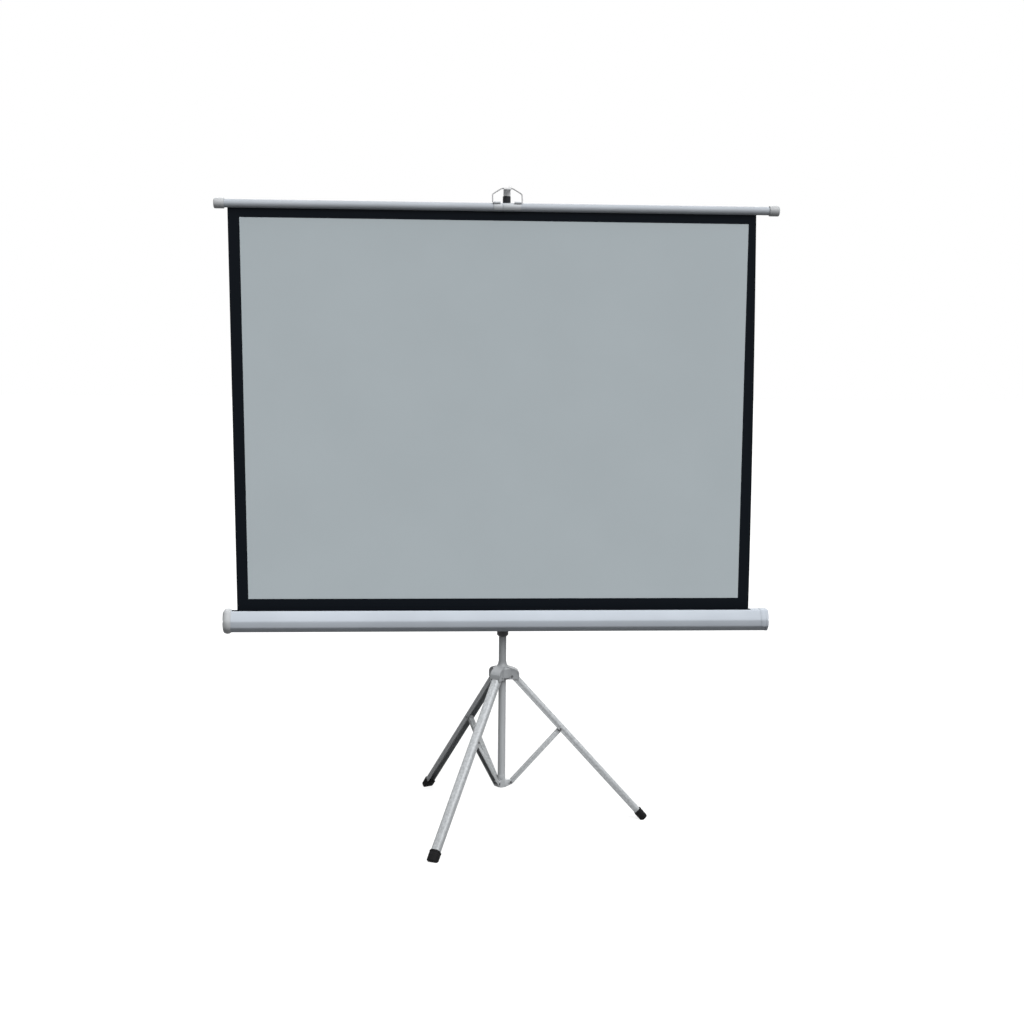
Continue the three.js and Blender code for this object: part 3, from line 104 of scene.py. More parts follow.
# Copies of the solids
WELD_GAP = 0.00002
FLAT_ANGLE = math.radians(0.6)
FACING = 0.9  # share of a face's normal that has to look the wanted way
END_DEPTH = 0.0005  # faces this near the far end belong to it
OUTER_REACH = 0.002  # how far from the middle an outer face has to look away

# Small forms on knobs, caps, case, bolts and feet, in metres
KNOB_RIM = 0.0028
KNOB_DISH = 0.0012
CASE_CAP_ROUNDING = 0.003
BAR_CAP_ROUNDING = 0.006
ROUNDING_STEPS = 4
SKIRT_REACH = 0.0175  # over the case's right end
SKIRT_TOP = 0.003  # the slot's sides, this far below the case's top, are left out
SKIRT_BOTTOM = 0.017  # above the case's underside
SKIRT_WALL = 0.0009
SLOT_REACH = 0.026  # in front of the sheet
SLOT_END_PLAY = 0.008  # past each side of the sheet
SLOT_CUTTER_HEIGHT = 0.012
CROSS_LENGTH = 0.0052
CROSS_WIDTH = 0.0011
CROSS_DEPTH = 0.0013
FOOT_BANDS = (  # upper end, lower end and height of a lip and two ribs
    (0.0035, 0.0075, 0.0009),
    (0.0135, 0.0155, 0.0005),
    (0.0185, 0.0205, 0.0005),
)

# Sunk panels on the hub's hoods, in metres and in degrees up from the level
HOOD_SIDE = 0.0031  # wall of a hood, and the play beside its leg
HOOD_HALF_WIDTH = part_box("leg_right")[1].y + HOOD_SIDE
RECESS_DEPTH = 0.0011
RECESS_RADIUS = 0.0222
RECESS_ANGLES = (-16, 100)
RECESS_ROUNDING = 0.0004
RECESS_EASE = 0.0001  # for finding the panel's faces
BOSS_RADIUS = 0.0075
DISC_SIDES = 48

# Sheet and studio
SHEET_UV = "Sheet"
SHEET_COLUMNS = 36
SHEET_ROWS = 14
SHEET_SMOOTH_ANGLE = math.radians(30)
FLOOR_SIZE = 60
FLOOR_BOUNCE = 0.1  # grey of the floor for the light that it throws back
FLOOR_SHADOW = 0.2  # grey of the floor where it is seen, which takes the shadow
FLOOR_GLOW = 0.84
KEY_TURN = (35, 26)  # degrees of tip and turn
BACK_TURN = (-52, 0)
LAMP_SPREAD = math.radians(60)
SENSOR_WIDTH = 36
FAR_CLIP = 200


def length(name, description, default):
    return bpy.props.FloatProperty(
        name=name, description=description, default=default, unit="LENGTH", precision=4
    )


def colour(name, description, default):
    return bpy.props.FloatVectorProperty(
        name=name, description=description, default=default, subtype="COLOR", min=0, max=1
    )


def strength(name, description, default):
    return bpy.props.FloatProperty(name=name, description=description, default=default, min=0)


class SCREEN_PG_sheet(bpy.types.PropertyGroup):
    """Size and colours of the drawn sheet"""

    picture_width: length("Picture width", "Width of the picture at its lower edge", 1.6895)
    picture_height: length("Picture height", "Height of the picture inside the border", 1.280)
    border_below: length("Border below", "Black margin from the case up to the picture", 0.0375)
    border_slant: length("Border slant", "How much the right margin narrows up to the picture's top", 0.0126)
    skew: length("Skew", "How far the picture's top hangs left of its bottom", 0.0135)
    taper: length("Taper", "How much wider the sheet is at the picture's top than at its bottom", 0.0094)
    bow: length("Bow", "How far the right edge bulges half way up", 0.0028)
    thickness: length("Thickness", "Thickness of the coated cloth", 0.0006)
    hem_rod: length("Hem rod", "Radius of the rod in the sheet's upper hem", 0.003)
    picture: colour("Picture", "Matte front of the cloth", (0.352, 0.394, 0.416))
    border: colour("Border", "Printed margin and coated back", (0.0024, 0.0038, 0.0060))


class SCREEN_PG_finish(bpy.types.PropertyGroup):
    """Colours of the hard pieces"""

    paint: colour("Silver paint", "Pole, rod, legs and spider", (0.318, 0.331, 0.342))
    # Painted shade: a darker copy of the silver paint, which paints the shade under the case onto the column
    # tube and the hub.
    column: colour("Column paint", "Column tube and hub", (0.244, 0.254, 0.264))
    # Painted light: a lighter copy of the silver paint, which paints extra light onto the struts.
    strut: colour("Strut paint", "Struts", (0.360, 0.375, 0.385))
    case: colour("Case", "Roller case", (0.345, 0.375, 0.415))
    bar: colour("Top bar", "Bar along the sheet's top", (0.30, 0.322, 0.35))
    cap: colour("End caps", "Moulded ends of the case and the bar", (0.31, 0.32, 0.33))
    black: colour("Black plastic", "Collar, knobs and pole head", (0.018, 0.019, 0.022))
    sleeve: colour("Sleeve", "Moulded sleeve behind the case", (0.105, 0.105, 0.11))
    rubber: colour("Rubber", "Feet", (0.009, 0.009, 0.0095))
    wire: colour("Wire", "Bail", (0.26, 0.26, 0.265))
    steel: colour("Steel", "Hook, bolts and roller", (0.60, 0.605, 0.61))
    dark_steel: colour("Dark steel", "Rivets and spring", (0.09, 0.09, 0.095))
    zinc: colour("Zinc", "Clips and bracket", (0.31, 0.325, 0.34))


class SCREEN_PG_stage(bpy.types.PropertyGroup):
    """Studio light and camera"""

    sun: strength("Key", "Strength of the soft key light", 5.3)
    back: strength("Back", "Strength of the light behind", 1.4)
    sky: strength("Fill", "Strength of the light from all round", 0.18)
    lens: bpy.props.FloatProperty(
        name="Lens", description="Focal length on a 36 mm frame", default=57.16, unit="CAMERA"
    )
    eye: bpy.props.FloatVectorProperty(
        name="Eye",
        description="Camera position",
        default=(-0.3481, -5.5370, 1.7532),
        subtype="TRANSLATION",
    )
    aim: bpy.props.FloatVectorProperty(
        name="Aim",
        description="Turn to the right, tilt down and roll",
        default=(0.0723, 0.1186, 0.0099),
        subtype="EULER",
    )


class SCREEN_PG_settings(bpy.types.PropertyGroup):
    """All settings of the projection screen"""

    sheet: bpy.props.PointerProperty(type=SCREEN_PG_sheet)
    finish: bpy.props.PointerProperty(type=SCREEN_PG_finish)
    stage: bpy.props.PointerProperty(type=SCREEN_PG_stage)


# Shader helpers


def feed(tree, socket, value):
    """Links a socket to another one, or sets it to a plain value."""
    if isinstance(value, bpy.types.NodeSocket):
        tree.links.new(value, socket)
    else:
        socket.default_value = value


def add_node(tree, kind, attributes=None, **inputs):
    """Adds a node and feeds its inputs, named with _ for a space or numbered after an i."""
    node = tree.nodes.new(kind)
    for key, value in (attributes or {}).items():
        setattr(node, key, value)
    for key, value in inputs.items():
        numbered = key[0] == "i" and key[1:].isdigit()
        socket = node.inputs[int(key[1:]) if numbered else key.replace("_", " ")]
        feed(tree, socket, value)
    return node


def new_group(name, inputs, outputs):
    """An empty shader group with float, vector or colour sockets."""
    group = bpy.data.node_groups.new(name, "ShaderNodeTree")
    for label, kind, default in inputs:
        socket = group.interface.new_socket(label, in_out="INPUT", socket_type=kind)
        if default is not None:
            socket.default_value = default
    for label, kind in outputs:
        group.interface.new_socket(label, in_out="OUTPUT", socket_type=kind)
    return group, group.nodes.new("NodeGroupInput").outputs, group.nodes.new("NodeGroupOutput").inputs


def math_node(tree, operation, a, b=0.0):
    return add_node(tree, "ShaderNodeMath", {"operation": operation}, i0=a, i1=b).outputs[0]


def noise(tree, vector, scale, detail, roughness=0.5):
    node = add_node(
        tree, "ShaderNodeTexNoise", Vector=vector, Scale=scale, Detail=detail, Roughness=roughness
    )
    return node.outputs["Fac"]


def soft_step(tree, value, low, high):
    node = add_node(
        tree,
        "ShaderNodeMapRange",
        {"interpolation_type": "SMOOTHSTEP"},
        Value=value,
        From_Min=low,
        From_Max=high,
    )
    return node.outputs["Result"]


def between(tree, factor, low, high):
    return add_node(tree, "ShaderNodeMapRange", Value=factor, To_Min=low, To_Max=high).outputs["Result"]


def mix_colour(tree, factor, a, b):
    return add_node(tree, "ShaderNodeMix", {"data_type": "RGBA"}, i0=factor, i6=a, i7=b).outputs[2]


def shade(base, factor):
    return tuple(min(1.0, c * factor) for c in base[:3]) + (1.0,)


# Surface effects that several finishes share


def grain_group():
    """Fine pebbled surface with a slower drift in tone, for paint and moulded plastic."""
    group, given, out = new_group(
        "Pebbled Grain",
        [
            ("Vector", "NodeSocketVector", None),
            ("Grain Scale", "NodeSocketFloat", 900.0),
            ("Drift Scale", "NodeSocketFloat", 7.0),
        ],
        [("Height", "NodeSocketFloat"), ("Drift", "NodeSocketFloat")],
    )
    fine = noise(group, given["Vector"], given["Grain Scale"], 3.0, 0.6)
    slow = noise(group, given["Vector"], given["Drift Scale"], 4.0, 0.55)
    group.links.new(fine, out["Height"])
    group.links.new(soft_step(group, slow, 0.3, 0.7), out["Drift"])
    return group


def brushed_group():
    """Long fine lines along X with a patchy strength, for drawn aluminium and steel."""
    group, given, out = new_group(
        "Drawn Lines",
        [("Vector", "NodeSocketVector", None), ("Line Scale", "NodeSocketFloat", 700.0)],
        [("Height", "NodeSocketFloat"), ("Lines", "NodeSocketFloat")],
    )
    stretch = add_node(group, "ShaderNodeMapping", Vector=given["Vector"], Scale=(0.006, 1, 1))
    lines = noise(group, stretch.outputs[0], given["Line Scale"], 4.0, 0.65)
    patches = noise(group, given["Vector"], 5.0, 2.0)
    patchy = soft_step(group, patches, 0.25, 0.75)
    group.links.new(lines, out["Height"])
    group.links.new(math_node(group, "MULTIPLY", lines, patchy), out["Lines"])
    return group


def scuff_group():
    """Sparse thin scratches and rubbed specks from handling."""
    group, given, out = new_group(
        "Handling Scuffs",
        [
            ("Vector", "NodeSocketVector", None),
            ("Scale", "NodeSocketFloat", 60.0),
            ("Amount", "NodeSocketFloat", 0.5),
        ],
        [("Scuffs", "NodeSocketFloat")],
    )
    turned = add_node(
        group, "ShaderNodeMapping", Vector=given["Vector"], Rotation=(0.5, 0.9, 0.3), Scale=(1, 0.12, 0.5)
    )
    streaks = noise(group, turned.outputs[0], given["Scale"], 5.0, 0.7)
    places = noise(group, given["Vector"], 9.0, 2.0)
    thin = soft_step(group, streaks, 0.62, 0.70)
    here = soft_step(group, places, 0.5, 0.65)
    both = math_node(group, "MULTIPLY", thin, here)
    group.links.new(math_node(group, "MULTIPLY", both, given["Amount"]), out["Scuffs"])
    return group


def weave_group():
    """Plain weave from the sheet's own UV map, which is measured in metres."""
    group, given, out = new_group(
        "Coated Weave",
        [("Vector", "NodeSocketVector", None), ("Threads", "NodeSocketFloat", 1400.0)],
        [("Height", "NodeSocketFloat"), ("Cloud", "NodeSocketFloat")],
    )
    parts = add_node(group, "ShaderNodeSeparateXYZ", Vector=given["Vector"])
    across, up = (
        math_node(group, "SINE", math_node(group, "MULTIPLY", parts.outputs[i], given["Threads"]))
        for i in (0, 1)
    )
    cloud = noise(group, given["Vector"], 3.5, 3.0)
    group.links.new(math_node(group, "MULTIPLY", across, up), out["Height"])
    group.links.new(soft_step(group, cloud, 0.25, 0.75), out["Cloud"])
    return group


def shared(builder):
    """The group that a builder makes, built once."""
    key = builder.__name__
    for group in bpy.data.node_groups:
        if group.get("builder") == key:
            return group
    group = builder()
    group["builder"] = key
    return group


def place_group(tree, builder, **inputs):
    return add_node(tree, "ShaderNodeGroup", {"node_tree": shared(builder)}, **inputs).outputs


# Finishes


def start_material(name, metallic, specular):
    """A material with a bare Principled shader, its tree and the shader."""
    made = bpy.data.materials.new(name)
    made.use_nodes = True
    tree = made.node_tree
    shader = tree.nodes["Principled BSDF"]
    shader.inputs["Metallic"].default_value = metallic
    shader.inputs["Specular IOR Level"].default_value = specular
    return made, tree, shader


def object_coordinates(tree):
    return tree.nodes.new("ShaderNodeTexCoord").outputs["Object"]


def add_bump(tree, shader, height, amount, distance):
    bump = add_node(tree, "ShaderNodeBump", Strength=amount, Distance=distance, Height=height)
    tree.links.new(bump.outputs["Normal"], shader.inputs["Normal"])


def moulded(name, base, rough, grain, depth, scuff, tone, metallic=0.0, specular=0.3, drift=7.0):
    """Paint, plastic or rubber: pebbled grain, drift in tone and rubbed places."""
    made, tree, shader = start_material(name, metallic, specular)
    where = object_coordinates(tree)
    surface = place_group(tree, grain_group, Vector=where, Grain_Scale=grain, Drift_Scale=drift)
    marks = place_group(tree, scuff_group, Vector=where, Amount=scuff)
    drifted = mix_colour(tree, surface["Drift"], shade(base, 1 - tone), shade(base, 1 + tone))
    rubbed = mix_colour(tree, marks["Scuffs"], drifted, shade(base, 1.5))
    tree.links.new(rubbed, shader.inputs["Base Color"])
    tree.links.new(between(tree, surface["Drift"], *rough), shader.inputs["Roughness"])
    add_bump(tree, shader, surface["Height"], 0.25, depth)
    return made


def drawn(name, base, metallic, rough, scuff=0.3, specular=0.5):
    """Aluminium or steel with drawing lines along X, and scuffs."""
    made, tree, shader = start_material(name, metallic, specular)
    where = object_coordinates(tree)
    surface = place_group(tree, brushed_group, Vector=where)
    marks = place_group(tree, scuff_group, Vector=where, Amount=scuff)
    lined = mix_colour(tree, surface["Lines"], shade(base, 1.06), shade(base, 0.9))
    rubbed = mix_colour(tree, marks["Scuffs"], lined, shade(base, 1.25))
    tree.links.new(rubbed, shader.inputs["Base Color"])
    tree.links.new(between(tree, surface["Lines"], *rough), shader.inputs["Roughness"])
    add_bump(tree, shader, surface["Height"], 0.2, 0.00002)
    return made


PAINT = {"rough": (0.46, 0.58), "grain": 1100.0, "depth": 0.00003, "scuff": 0.3, "metallic": 0.08}
MOTTLED = {
    "rough": (0.44, 0.6),
    "grain": 420.0,
    "depth": 0.00012,
    "scuff": 0.3,
    "tone": 0.15,
    "metallic": 0.08,
    "drift": 130.0,
}
ALUMINIUM = {"metallic": 0.03, "rough": (0.55, 0.68), "scuff": 0.15, "specular": 0.1}
GREY_PLASTIC = {"rough": (0.5, 0.62), "grain": 1500.0, "depth": 0.00005, "scuff": 0.25, "tone": 0.06}
BLACK_PLASTIC = {"rough": (0.36, 0.5), "depth": 0.00004, "scuff": 0.5, "tone": 0.15}
DARK_PLASTIC = {"rough": (0.45, 0.6), "depth": 0.00005, "scuff": 0.4, "tone": 0.12}
FINE_PLASTIC = {"grain": 1300.0, "specular": 0.15}
RUBBER = {
    "rough": (0.7, 0.9),
    "grain": 700.0,
    "depth": 0.00008,
    "scuff": 0.8,
    "tone": 0.2,
    "specular": 0.08,
}
STEEL = {"rough": (0.4, 0.55), "specular": 0.3}
ZINC = {
    "rough": (0.45, 0.6),
    "grain": 260.0,
    "depth": 0.00001,
    "scuff": 0.3,
    "tone": 0.08,
    "metallic": 0.1,
}
CLOTH = {
    "rough": (0.7, 0.85),
    "grain": 1500.0,
    "depth": 0.00004,
    "scuff": 0,
    "tone": 0.2,
    "specular": 0.05,
}

# Slot, with the kind of surface, the setting that holds its colour, and its values
FINISHES = {
    "silver_paint": (moulded, "finish.paint", PAINT | {"tone": 0.04}),
    # Painted shade: a darker copy of the silver paint, for the column tube and the hub under the case.
    "column_paint": (moulded, "finish.column", PAINT | {"tone": 0.06}),
    "leg_paint": (moulded, "finish.paint", MOTTLED),
    # Painted light: a lighter copy of the mottled silver paint, for the struts.
    "strut_paint": (moulded, "finish.strut", MOTTLED),
    "case_metal": (drawn, "finish.case", ALUMINIUM),
    "bar_metal": (drawn, "finish.bar", ALUMINIUM),
    "grey_plastic": (moulded, "finish.cap", GREY_PLASTIC),
    "black_plastic": (moulded, "finish.black", BLACK_PLASTIC | FINE_PLASTIC),
    "dark_plastic": (moulded, "finish.sleeve", DARK_PLASTIC | FINE_PLASTIC),
    "foot_rubber": (moulded, "finish.rubber", RUBBER),
    "bail_wire": (drawn, "finish.wire", STEEL | {"metallic": 0.2}),
    "bare_steel": (drawn, "finish.steel", STEEL | {"metallic": 0.1}),
    "dark_steel": (drawn, "finish.dark_steel", STEEL | {"metallic": 0.8, "specular": 0.5}),
    "zinc_plate": (moulded, "finish.zinc", ZINC),
    "wound_sheet": (moulded, "sheet.border", CLOTH),
}


def finish_for(slot):
    """The material of a slot, built once."""
    name = slot + "_finish"
    found = bpy.data.materials.get(name)
    if found:
        return found
    surface, setting, values = FINISHES[slot]
    base = bpy.context.scene.projection_screen.path_resolve(setting)
    return surface(name, base, **values)


# Modelling helpers


def deselect_all():
    if bpy.context.mode != "OBJECT":
        bpy.ops.object.mode_set(mode="OBJECT")
    bpy.ops.object.select_all(action="DESELECT")


def pick(piece):
    deselect_all()
    piece.select_set(True)
    bpy.context.view_layer.objects.active = piece


def give(piece, made):
    piece.data.materials.clear()
    piece.data.materials.append(made)


def middle_of(node):
    low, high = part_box(node)
    return (low + high) / 2


def attach(piece, *nodes):
    """The piece stands for these solids and moves with their body."""
    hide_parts(*nodes)
    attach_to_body(piece, NODE_BODY[nodes[0]])
    return piece


def merged_copy(node, name):
    """A welded copy of a solid whose flat faces are whole."""
    pick(frame["nodes"][node])
    bpy.ops.object.duplicate()
    piece = bpy.context.active_object
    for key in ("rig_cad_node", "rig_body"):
        if key in piece:
            del piece[key]
    piece.name = name
    piece.data.name = name
    bpy.ops.object.parent_clear(type="CLEAR_KEEP_TRANSFORM")
    bpy.ops.object.mode_set(mode="EDIT")
    bpy.ops.mesh.select_all(action="SELECT")
    bpy.ops.mesh.remove_doubles(threshold=WELD_GAP)
    bpy.ops.mesh.dissolve_limited(angle_limit=FLAT_ANGLE)
    bpy.ops.object.mode_set(mode="OBJECT")
    return piece


def apply_modifier(piece, name, kind, **values):
    """Adds a modifier with these values to a piece, and applies it."""
    pick(piece)
    modifier = piece.modifiers.new(name, kind)
    for key, value in values.items():
        setattr(modifier, key, value)
    bpy.ops.object.modifier_apply(modifier=modifier.name)


def round_edges(piece, width, segments):
    """Bevels the sharp edges, and smooths the rest."""
    apply_modifier(
        piece,
        "Rounded edges",
        "BEVEL",
        width=width,
        segments=segments,
        limit_method="ANGLE",
        angle_limit=SHARP_ANGLE,
    )
    bpy.ops.object.shade_smooth_by_angle(angle=SHARP_ANGLE)


def finished(node, width=PLATE_EDGE, segments=2, shape=None, finish=None):
    """A rounded copy of a solid in its slot's or another finish, shaped before its edges are rounded."""
    piece = merged_copy(node, "finished_" + node)
    if shape:
        shape(piece)
    round_edges(piece, width, segments)
    give(piece, finish_for(finish or NODE_SLOT[node]))
    return attach(piece, node)


def smoother(piece, levels=1):
    """Subdivides a bevelled piece, so that its facets turn round."""
    apply_modifier(piece, "Round form", "SUBSURF", levels=levels, render_levels=levels)


def dress_inside(*nodes):
    """Gives hidden solids their finish and leaves their shape."""
    for node in nodes:
        give(frame["nodes"][node], finish_for(NODE_SLOT[node]))


def select_faces(piece, wanted):
    """Enters edit mode with only the wanted faces selected."""
    pick(piece)
    mesh = piece.data
    for group in (mesh.vertices, mesh.edges):
        for part in group:
            part.select = False
    for face in mesh.polygons:
        face.select = wanted(face)
    bpy.ops.object.mode_set(mode="EDIT")
    bpy.ops.mesh.select_mode(type="FACE")


def select_end(piece, direction):
    """Enters edit mode with the flat end selected that looks along a direction."""
    faces = piece.data.polygons
    far = max(face.center.dot(direction) for face in faces if face.normal.dot(direction) > FACING)
    select_faces(
        piece,
        lambda face: face.normal.dot(direction) > FACING and face.center.dot(direction) > far - END_DEPTH,
    )


def bisect_all(point, normal, **options):
    """In edit mode, cuts the whole mesh at a plane."""
    bpy.ops.mesh.select_all(action="SELECT")
    bpy.ops.mesh.bisect(plane_co=point, plane_no=normal, **options)


def cut_with(piece, cutter):
    """Takes a cutter out of a piece and deletes the cutter."""
    apply_modifier(piece, "Opening", "BOOLEAN", operation="DIFFERENCE", object=cutter)
    pick(cutter)
    bpy.ops.object.delete()
    pick(piece)


def raised_band(piece, start, axis, low, high, height):
    """Raises a band round a long piece, between two distances from a point along its axis."""
    pick(piece)
    bpy.ops.object.mode_set(mode="EDIT")
    for along in (low, high):
        bisect_all(start + along * axis, axis)
    bpy.ops.object.mode_set(mode="OBJECT")

    def outward(face):
        offset = face.center - start
        along = offset.dot(axis)
        return low < along < high and face.normal.dot(offset - along * axis) > OUTER_REACH

    select_faces(piece, outward)
    bpy.ops.mesh.extrude_region_shrink_fatten(TRANSFORM_OT_shrink_fatten={"value": height})
    bpy.ops.object.mode_set(mode="OBJECT")


def rounded_end(piece, side, width):
    """Rounds the rim of a cap's outer end."""
    select_end(piece, Vector((1 if side == "right" else -1, 0, 0)))
    bpy.ops.mesh.region_to_loop()
    bpy.ops.mesh.bevel(offset=width, segments=ROUNDING_STEPS, affect="EDGES", clamp_overlap=True)
    bpy.ops.mesh.select_all(action="SELECT")
    bpy.ops.mesh.dissolve_degenerate(threshold=WELD_GAP)
    bpy.ops.object.mode_set(mode="OBJECT")


def dished_knob(piece):
    """Sinks the end of a knob that looks along +Y."""
    select_end(piece, Vector((0, 1, 0)))
    bpy.ops.mesh.inset(thickness=KNOB_RIM, depth=-KNOB_DISH)
    bpy.ops.object.mode_set(mode="OBJECT")


# Sheet


def sheet_coordinates(tree):
    return add_node(tree, "ShaderNodeUVMap", {"uv_map": SHEET_UV}).outputs["UV"]


def picture_mask(tree, where, settings):
    """One inside the picture and zero on its border, which narrows towards the upper right."""
    parts = add_node(tree, "ShaderNodeSeparateXYZ", Vector=where)
    across, up = parts.outputs[0], parts.outputs[1]
    half = settings.picture_width / 2
    rise = math_node(tree, "MULTIPLY", up, up)
    lean = math_node(tree, "MULTIPLY", rise, settings.border_slant / settings.picture_height**2)
    edges = (
        math_node(tree, "GREATER_THAN", across, -half),
        math_node(tree, "LESS_THAN", math_node(tree, "SUBTRACT", across, lean), half),
        math_node(tree, "GREATER_THAN", up, 0.0),
        math_node(tree, "LESS_THAN", up, settings.picture_height),
    )
    inside = edges[0]
    for edge in edges[1:]:
        inside = math_node(tree, "MULTIPLY", inside, edge)
    return inside


def sheet_front_material(settings):
    """Matte picture inside a printed border that follows the sheet's UV map, in metres."""
    made, tree, shader = start_material("sheet_front", 0, 0.05)
    where = sheet_coordinates(tree)
    weave = place_group(tree, weave_group, Vector=where)
    picture = picture_mask(tree, where, settings)
    clouded = mix_colour(
        tree, weave["Cloud"], shade(settings.picture, 0.985), shade(settings.picture, 1.015)
    )
    printed = mix_colour(tree, picture, shade(settings.border, 1), clouded)
    tree.links.new(printed, shader.inputs["Base Color"])
    tree.links.new(between(tree, picture, 0.62, 0.88), shader.inputs["Roughness"])
    add_bump(tree, shader, weave["Height"], 0.2, 0.00005)
    return made


def sheet_back_material(settings):
    """Black coated back."""
    made, tree, shader = start_material("sheet_back", 0, 0.12)
    weave = place_group(tree, weave_group, Vector=sheet_coordinates(tree))
    clouded = mix_colour(tree, weave["Cloud"], shade(settings.border, 0.8), shade(settings.border, 1.5))
    tree.links.new(clouded, shader.inputs["Base Color"])
    tree.links.new(between(tree, weave["Cloud"], 0.55, 0.7), shader.inputs["Roughness"])
    add_bump(tree, shader, weave["Height"], 0.25, 0.00006)
    return made


def hang_sheet(panel, settings):
    """Gives a flat panel UVs in metres from the picture's lower middle, then its skew, taper and bow."""
    picture_bottom = CASE_HIGH.z + settings.border_below
    layer = panel.data.uv_layers[0]
    layer.name = SHEET_UV
    for loop in panel.data.loops:
        spot = panel.data.vertices[loop.vertex_index].co
        layer.data[loop.index].uv = (spot.x - SHEET_MIDDLE_X, spot.z - picture_bottom)
    for vertex in panel.data.vertices:
        across = 2 * (vertex.co.x - SHEET_MIDDLE_X) / SHEET_WIDTH
        up = (vertex.co.z - picture_bottom) / settings.picture_height
        bulge = max(0, across) ** 2 * 4 * up * (1 - up)
        vertex.co.x += (up - 0.5) * (across * settings.taper / 2 - settings.skew) + bulge * settings.bow


def cloth_panel(settings, faces, name, node, bottom, top):
    """One stretch of the sheet between two heights, with its front and back materials."""
    deselect_all()
    bpy.ops.mesh.primitive_grid_add(
        x_subdivisions=SHEET_COLUMNS,
        y_subdivisions=SHEET_ROWS,
        size=1,
        location=(SHEET_MIDDLE_X, (TAIL_LOW.y + TAIL_HIGH.y) / 2, (bottom + top) / 2),
        rotation=(math.pi / 2, 0, 0),
    )
    panel = bpy.context.active_object
    panel.name = name
    panel.scale = (SHEET_WIDTH, top - bottom, 1)
    bpy.ops.object.transform_apply(location=True, rotation=True, scale=True)
    hang_sheet(panel, settings)
    for made in faces:
        panel.data.materials.append(made)
    apply_modifier(
        panel,
        "Cloth thickness",
        "SOLIDIFY",
        thickness=settings.thickness,
        offset=0,
        material_offset=1,
        material_offset_rim=1,
    )
    bpy.ops.object.shade_smooth_by_angle(angle=SHEET_SMOOTH_ANGLE)
    return attach(panel, node)


class SCREEN_OT_sheet(bpy.types.Operator):
    """Models the sheet, prints its border and ties it to the pole's slide"""

    bl_idname = "screen.sheet"
    bl_label = "Sheet"

    def execute(self, context):
        settings = context.scene.projection_screen.sheet
        faces = (sheet_front_material(settings), sheet_back_material(settings))
        split = (TAIL_HIGH.z + PANEL_LOW.z) / 2
        hem = PANEL_HIGH.z - settings.hem_rod
        tail = cloth_panel(settings, faces, "sheet_tail", "fabric_tail", TAIL_LOW.z, split)
        panel = cloth_panel(settings, faces, "sheet_panel", "screen_fabric", split, hem)
        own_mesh(tail)
        return {"FINISHED"}


# Top bar and column


class SCREEN_OT_bar(bpy.types.Operator):
    """Finishes the top bar, its caps, the clips and the bail"""

    bl_idname = "screen.bar"
    bl_label = "Top bar and bail"

    def execute(self, context):
        finished("top_bar", BAR_EDGE, 1, finish="bar_metal")
        for side in SIDES:
            finished(
                f"bar_cap_{side}",
                CAP_EDGE,
                shape=lambda piece: rounded_end(piece, side, BAR_CAP_ROUNDING),
            )
            finished(f"bail_clip_{side}")
        smoother(finished("bail", CAP_EDGE, finish="bail_wire"), 2)
        return {"FINISHED"}


class SCREEN_OT_column(bpy.types.Operator):
    """Finishes the tube, the pole, its collar, knob, head and hook"""

    bl_idname = "screen.column"
    bl_label = "Column"

    def execute(self, context):
        # The tube takes the darker copy of the silver paint, which paints on the shade from the case above
        # it.
        finished("column_tube", ROLLED_EDGE, 1, finish="column_paint")
        finished("extension_pole", ROLLED_EDGE, 1)
        finished("centre_rod", ROLLED_EDGE, 1)
        finished("pole_collar", CLAMP_EDGE)
        finished("pole_knob", KNOB_EDGE, 3, shape=dished_knob)
        finished("pole_head", CAP_EDGE)
        finished("pole_hook")
        dress_inside("pole_guide")
        return {"FINISHED"}


# Case


def case_skirt():
    """A thin sheet round the case's right end, down to its lowest bend."""
    skirt = merged_copy("case_shell", "cap_skirt")
    middle = (CASE_LOW + CASE_HIGH) / 2

    def outer(face):
        in_slot = abs(face.normal.y) > FACING and face.center.z > CASE_HIGH.z - SKIRT_TOP
        offset = face.center - middle
        outward = face.normal.y * offset.y + face.normal.z * offset.z
        return abs(face.normal.x) < 1 - FACING and outward > OUTER_REACH and not in_slot

    select_faces(skirt, lambda face: not outer(face))
    bpy.ops.mesh.delete(type="FACE")
    bisect_all((CASE_HIGH.x - SKIRT_REACH, 0, 0), (1, 0, 0), clear_inner=True)
    bisect_all((0, 0, CASE_LOW.z + SKIRT_BOTTOM), (0, 0, 1), clear_inner=True)
    bpy.ops.object.mode_set(mode="OBJECT")
    apply_modifier(skirt, "Skirt wall", "SOLIDIFY", thickness=SKIRT_WALL, offset=1)
    return skirt


def case_cap_form(piece, side):
    """Rounds a case cap, and gives the right one a skirt over the case's end."""
    rounded_end(piece, side, CASE_CAP_ROUNDING)
    if side == "right":
        skirt = case_skirt()
        pick(piece)
        skirt.select_set(True)
        bpy.ops.object.join()


def wide_slot(piece):
    """Opens the case's slot forwards, so that the dark inside shows in front of the sheet."""
    bpy.ops.mesh.primitive_cube_add(
        size=1,
        location=(SHEET_MIDDLE_X, TAIL_LOW.y - SLOT_REACH / 2, CASE_HIGH.z),
        scale=(SHEET_WIDTH + 2 * SLOT_END_PLAY, SLOT_REACH, SLOT_CUTTER_HEIGHT),
    )
    cut_with(piece, bpy.context.active_object)


def cross_recess(piece):
    """Cuts a cross into a bolt's head, which looks along +Y."""
    corners = [Vector(corner) for corner in piece.bound_box]
    middle = sum(corners, Vector()) / len(corners)
    face = max(corner.y for corner in corners)
    for wide, high in ((CROSS_LENGTH, CROSS_WIDTH), (CROSS_WIDTH, CROSS_LENGTH)):
        bpy.ops.mesh.primitive_cube_add(
            size=1, location=(middle.x, face, middle.z), scale=(wide, 2 * CROSS_DEPTH, high)
        )
        cut_with(piece, bpy.context.active_object)


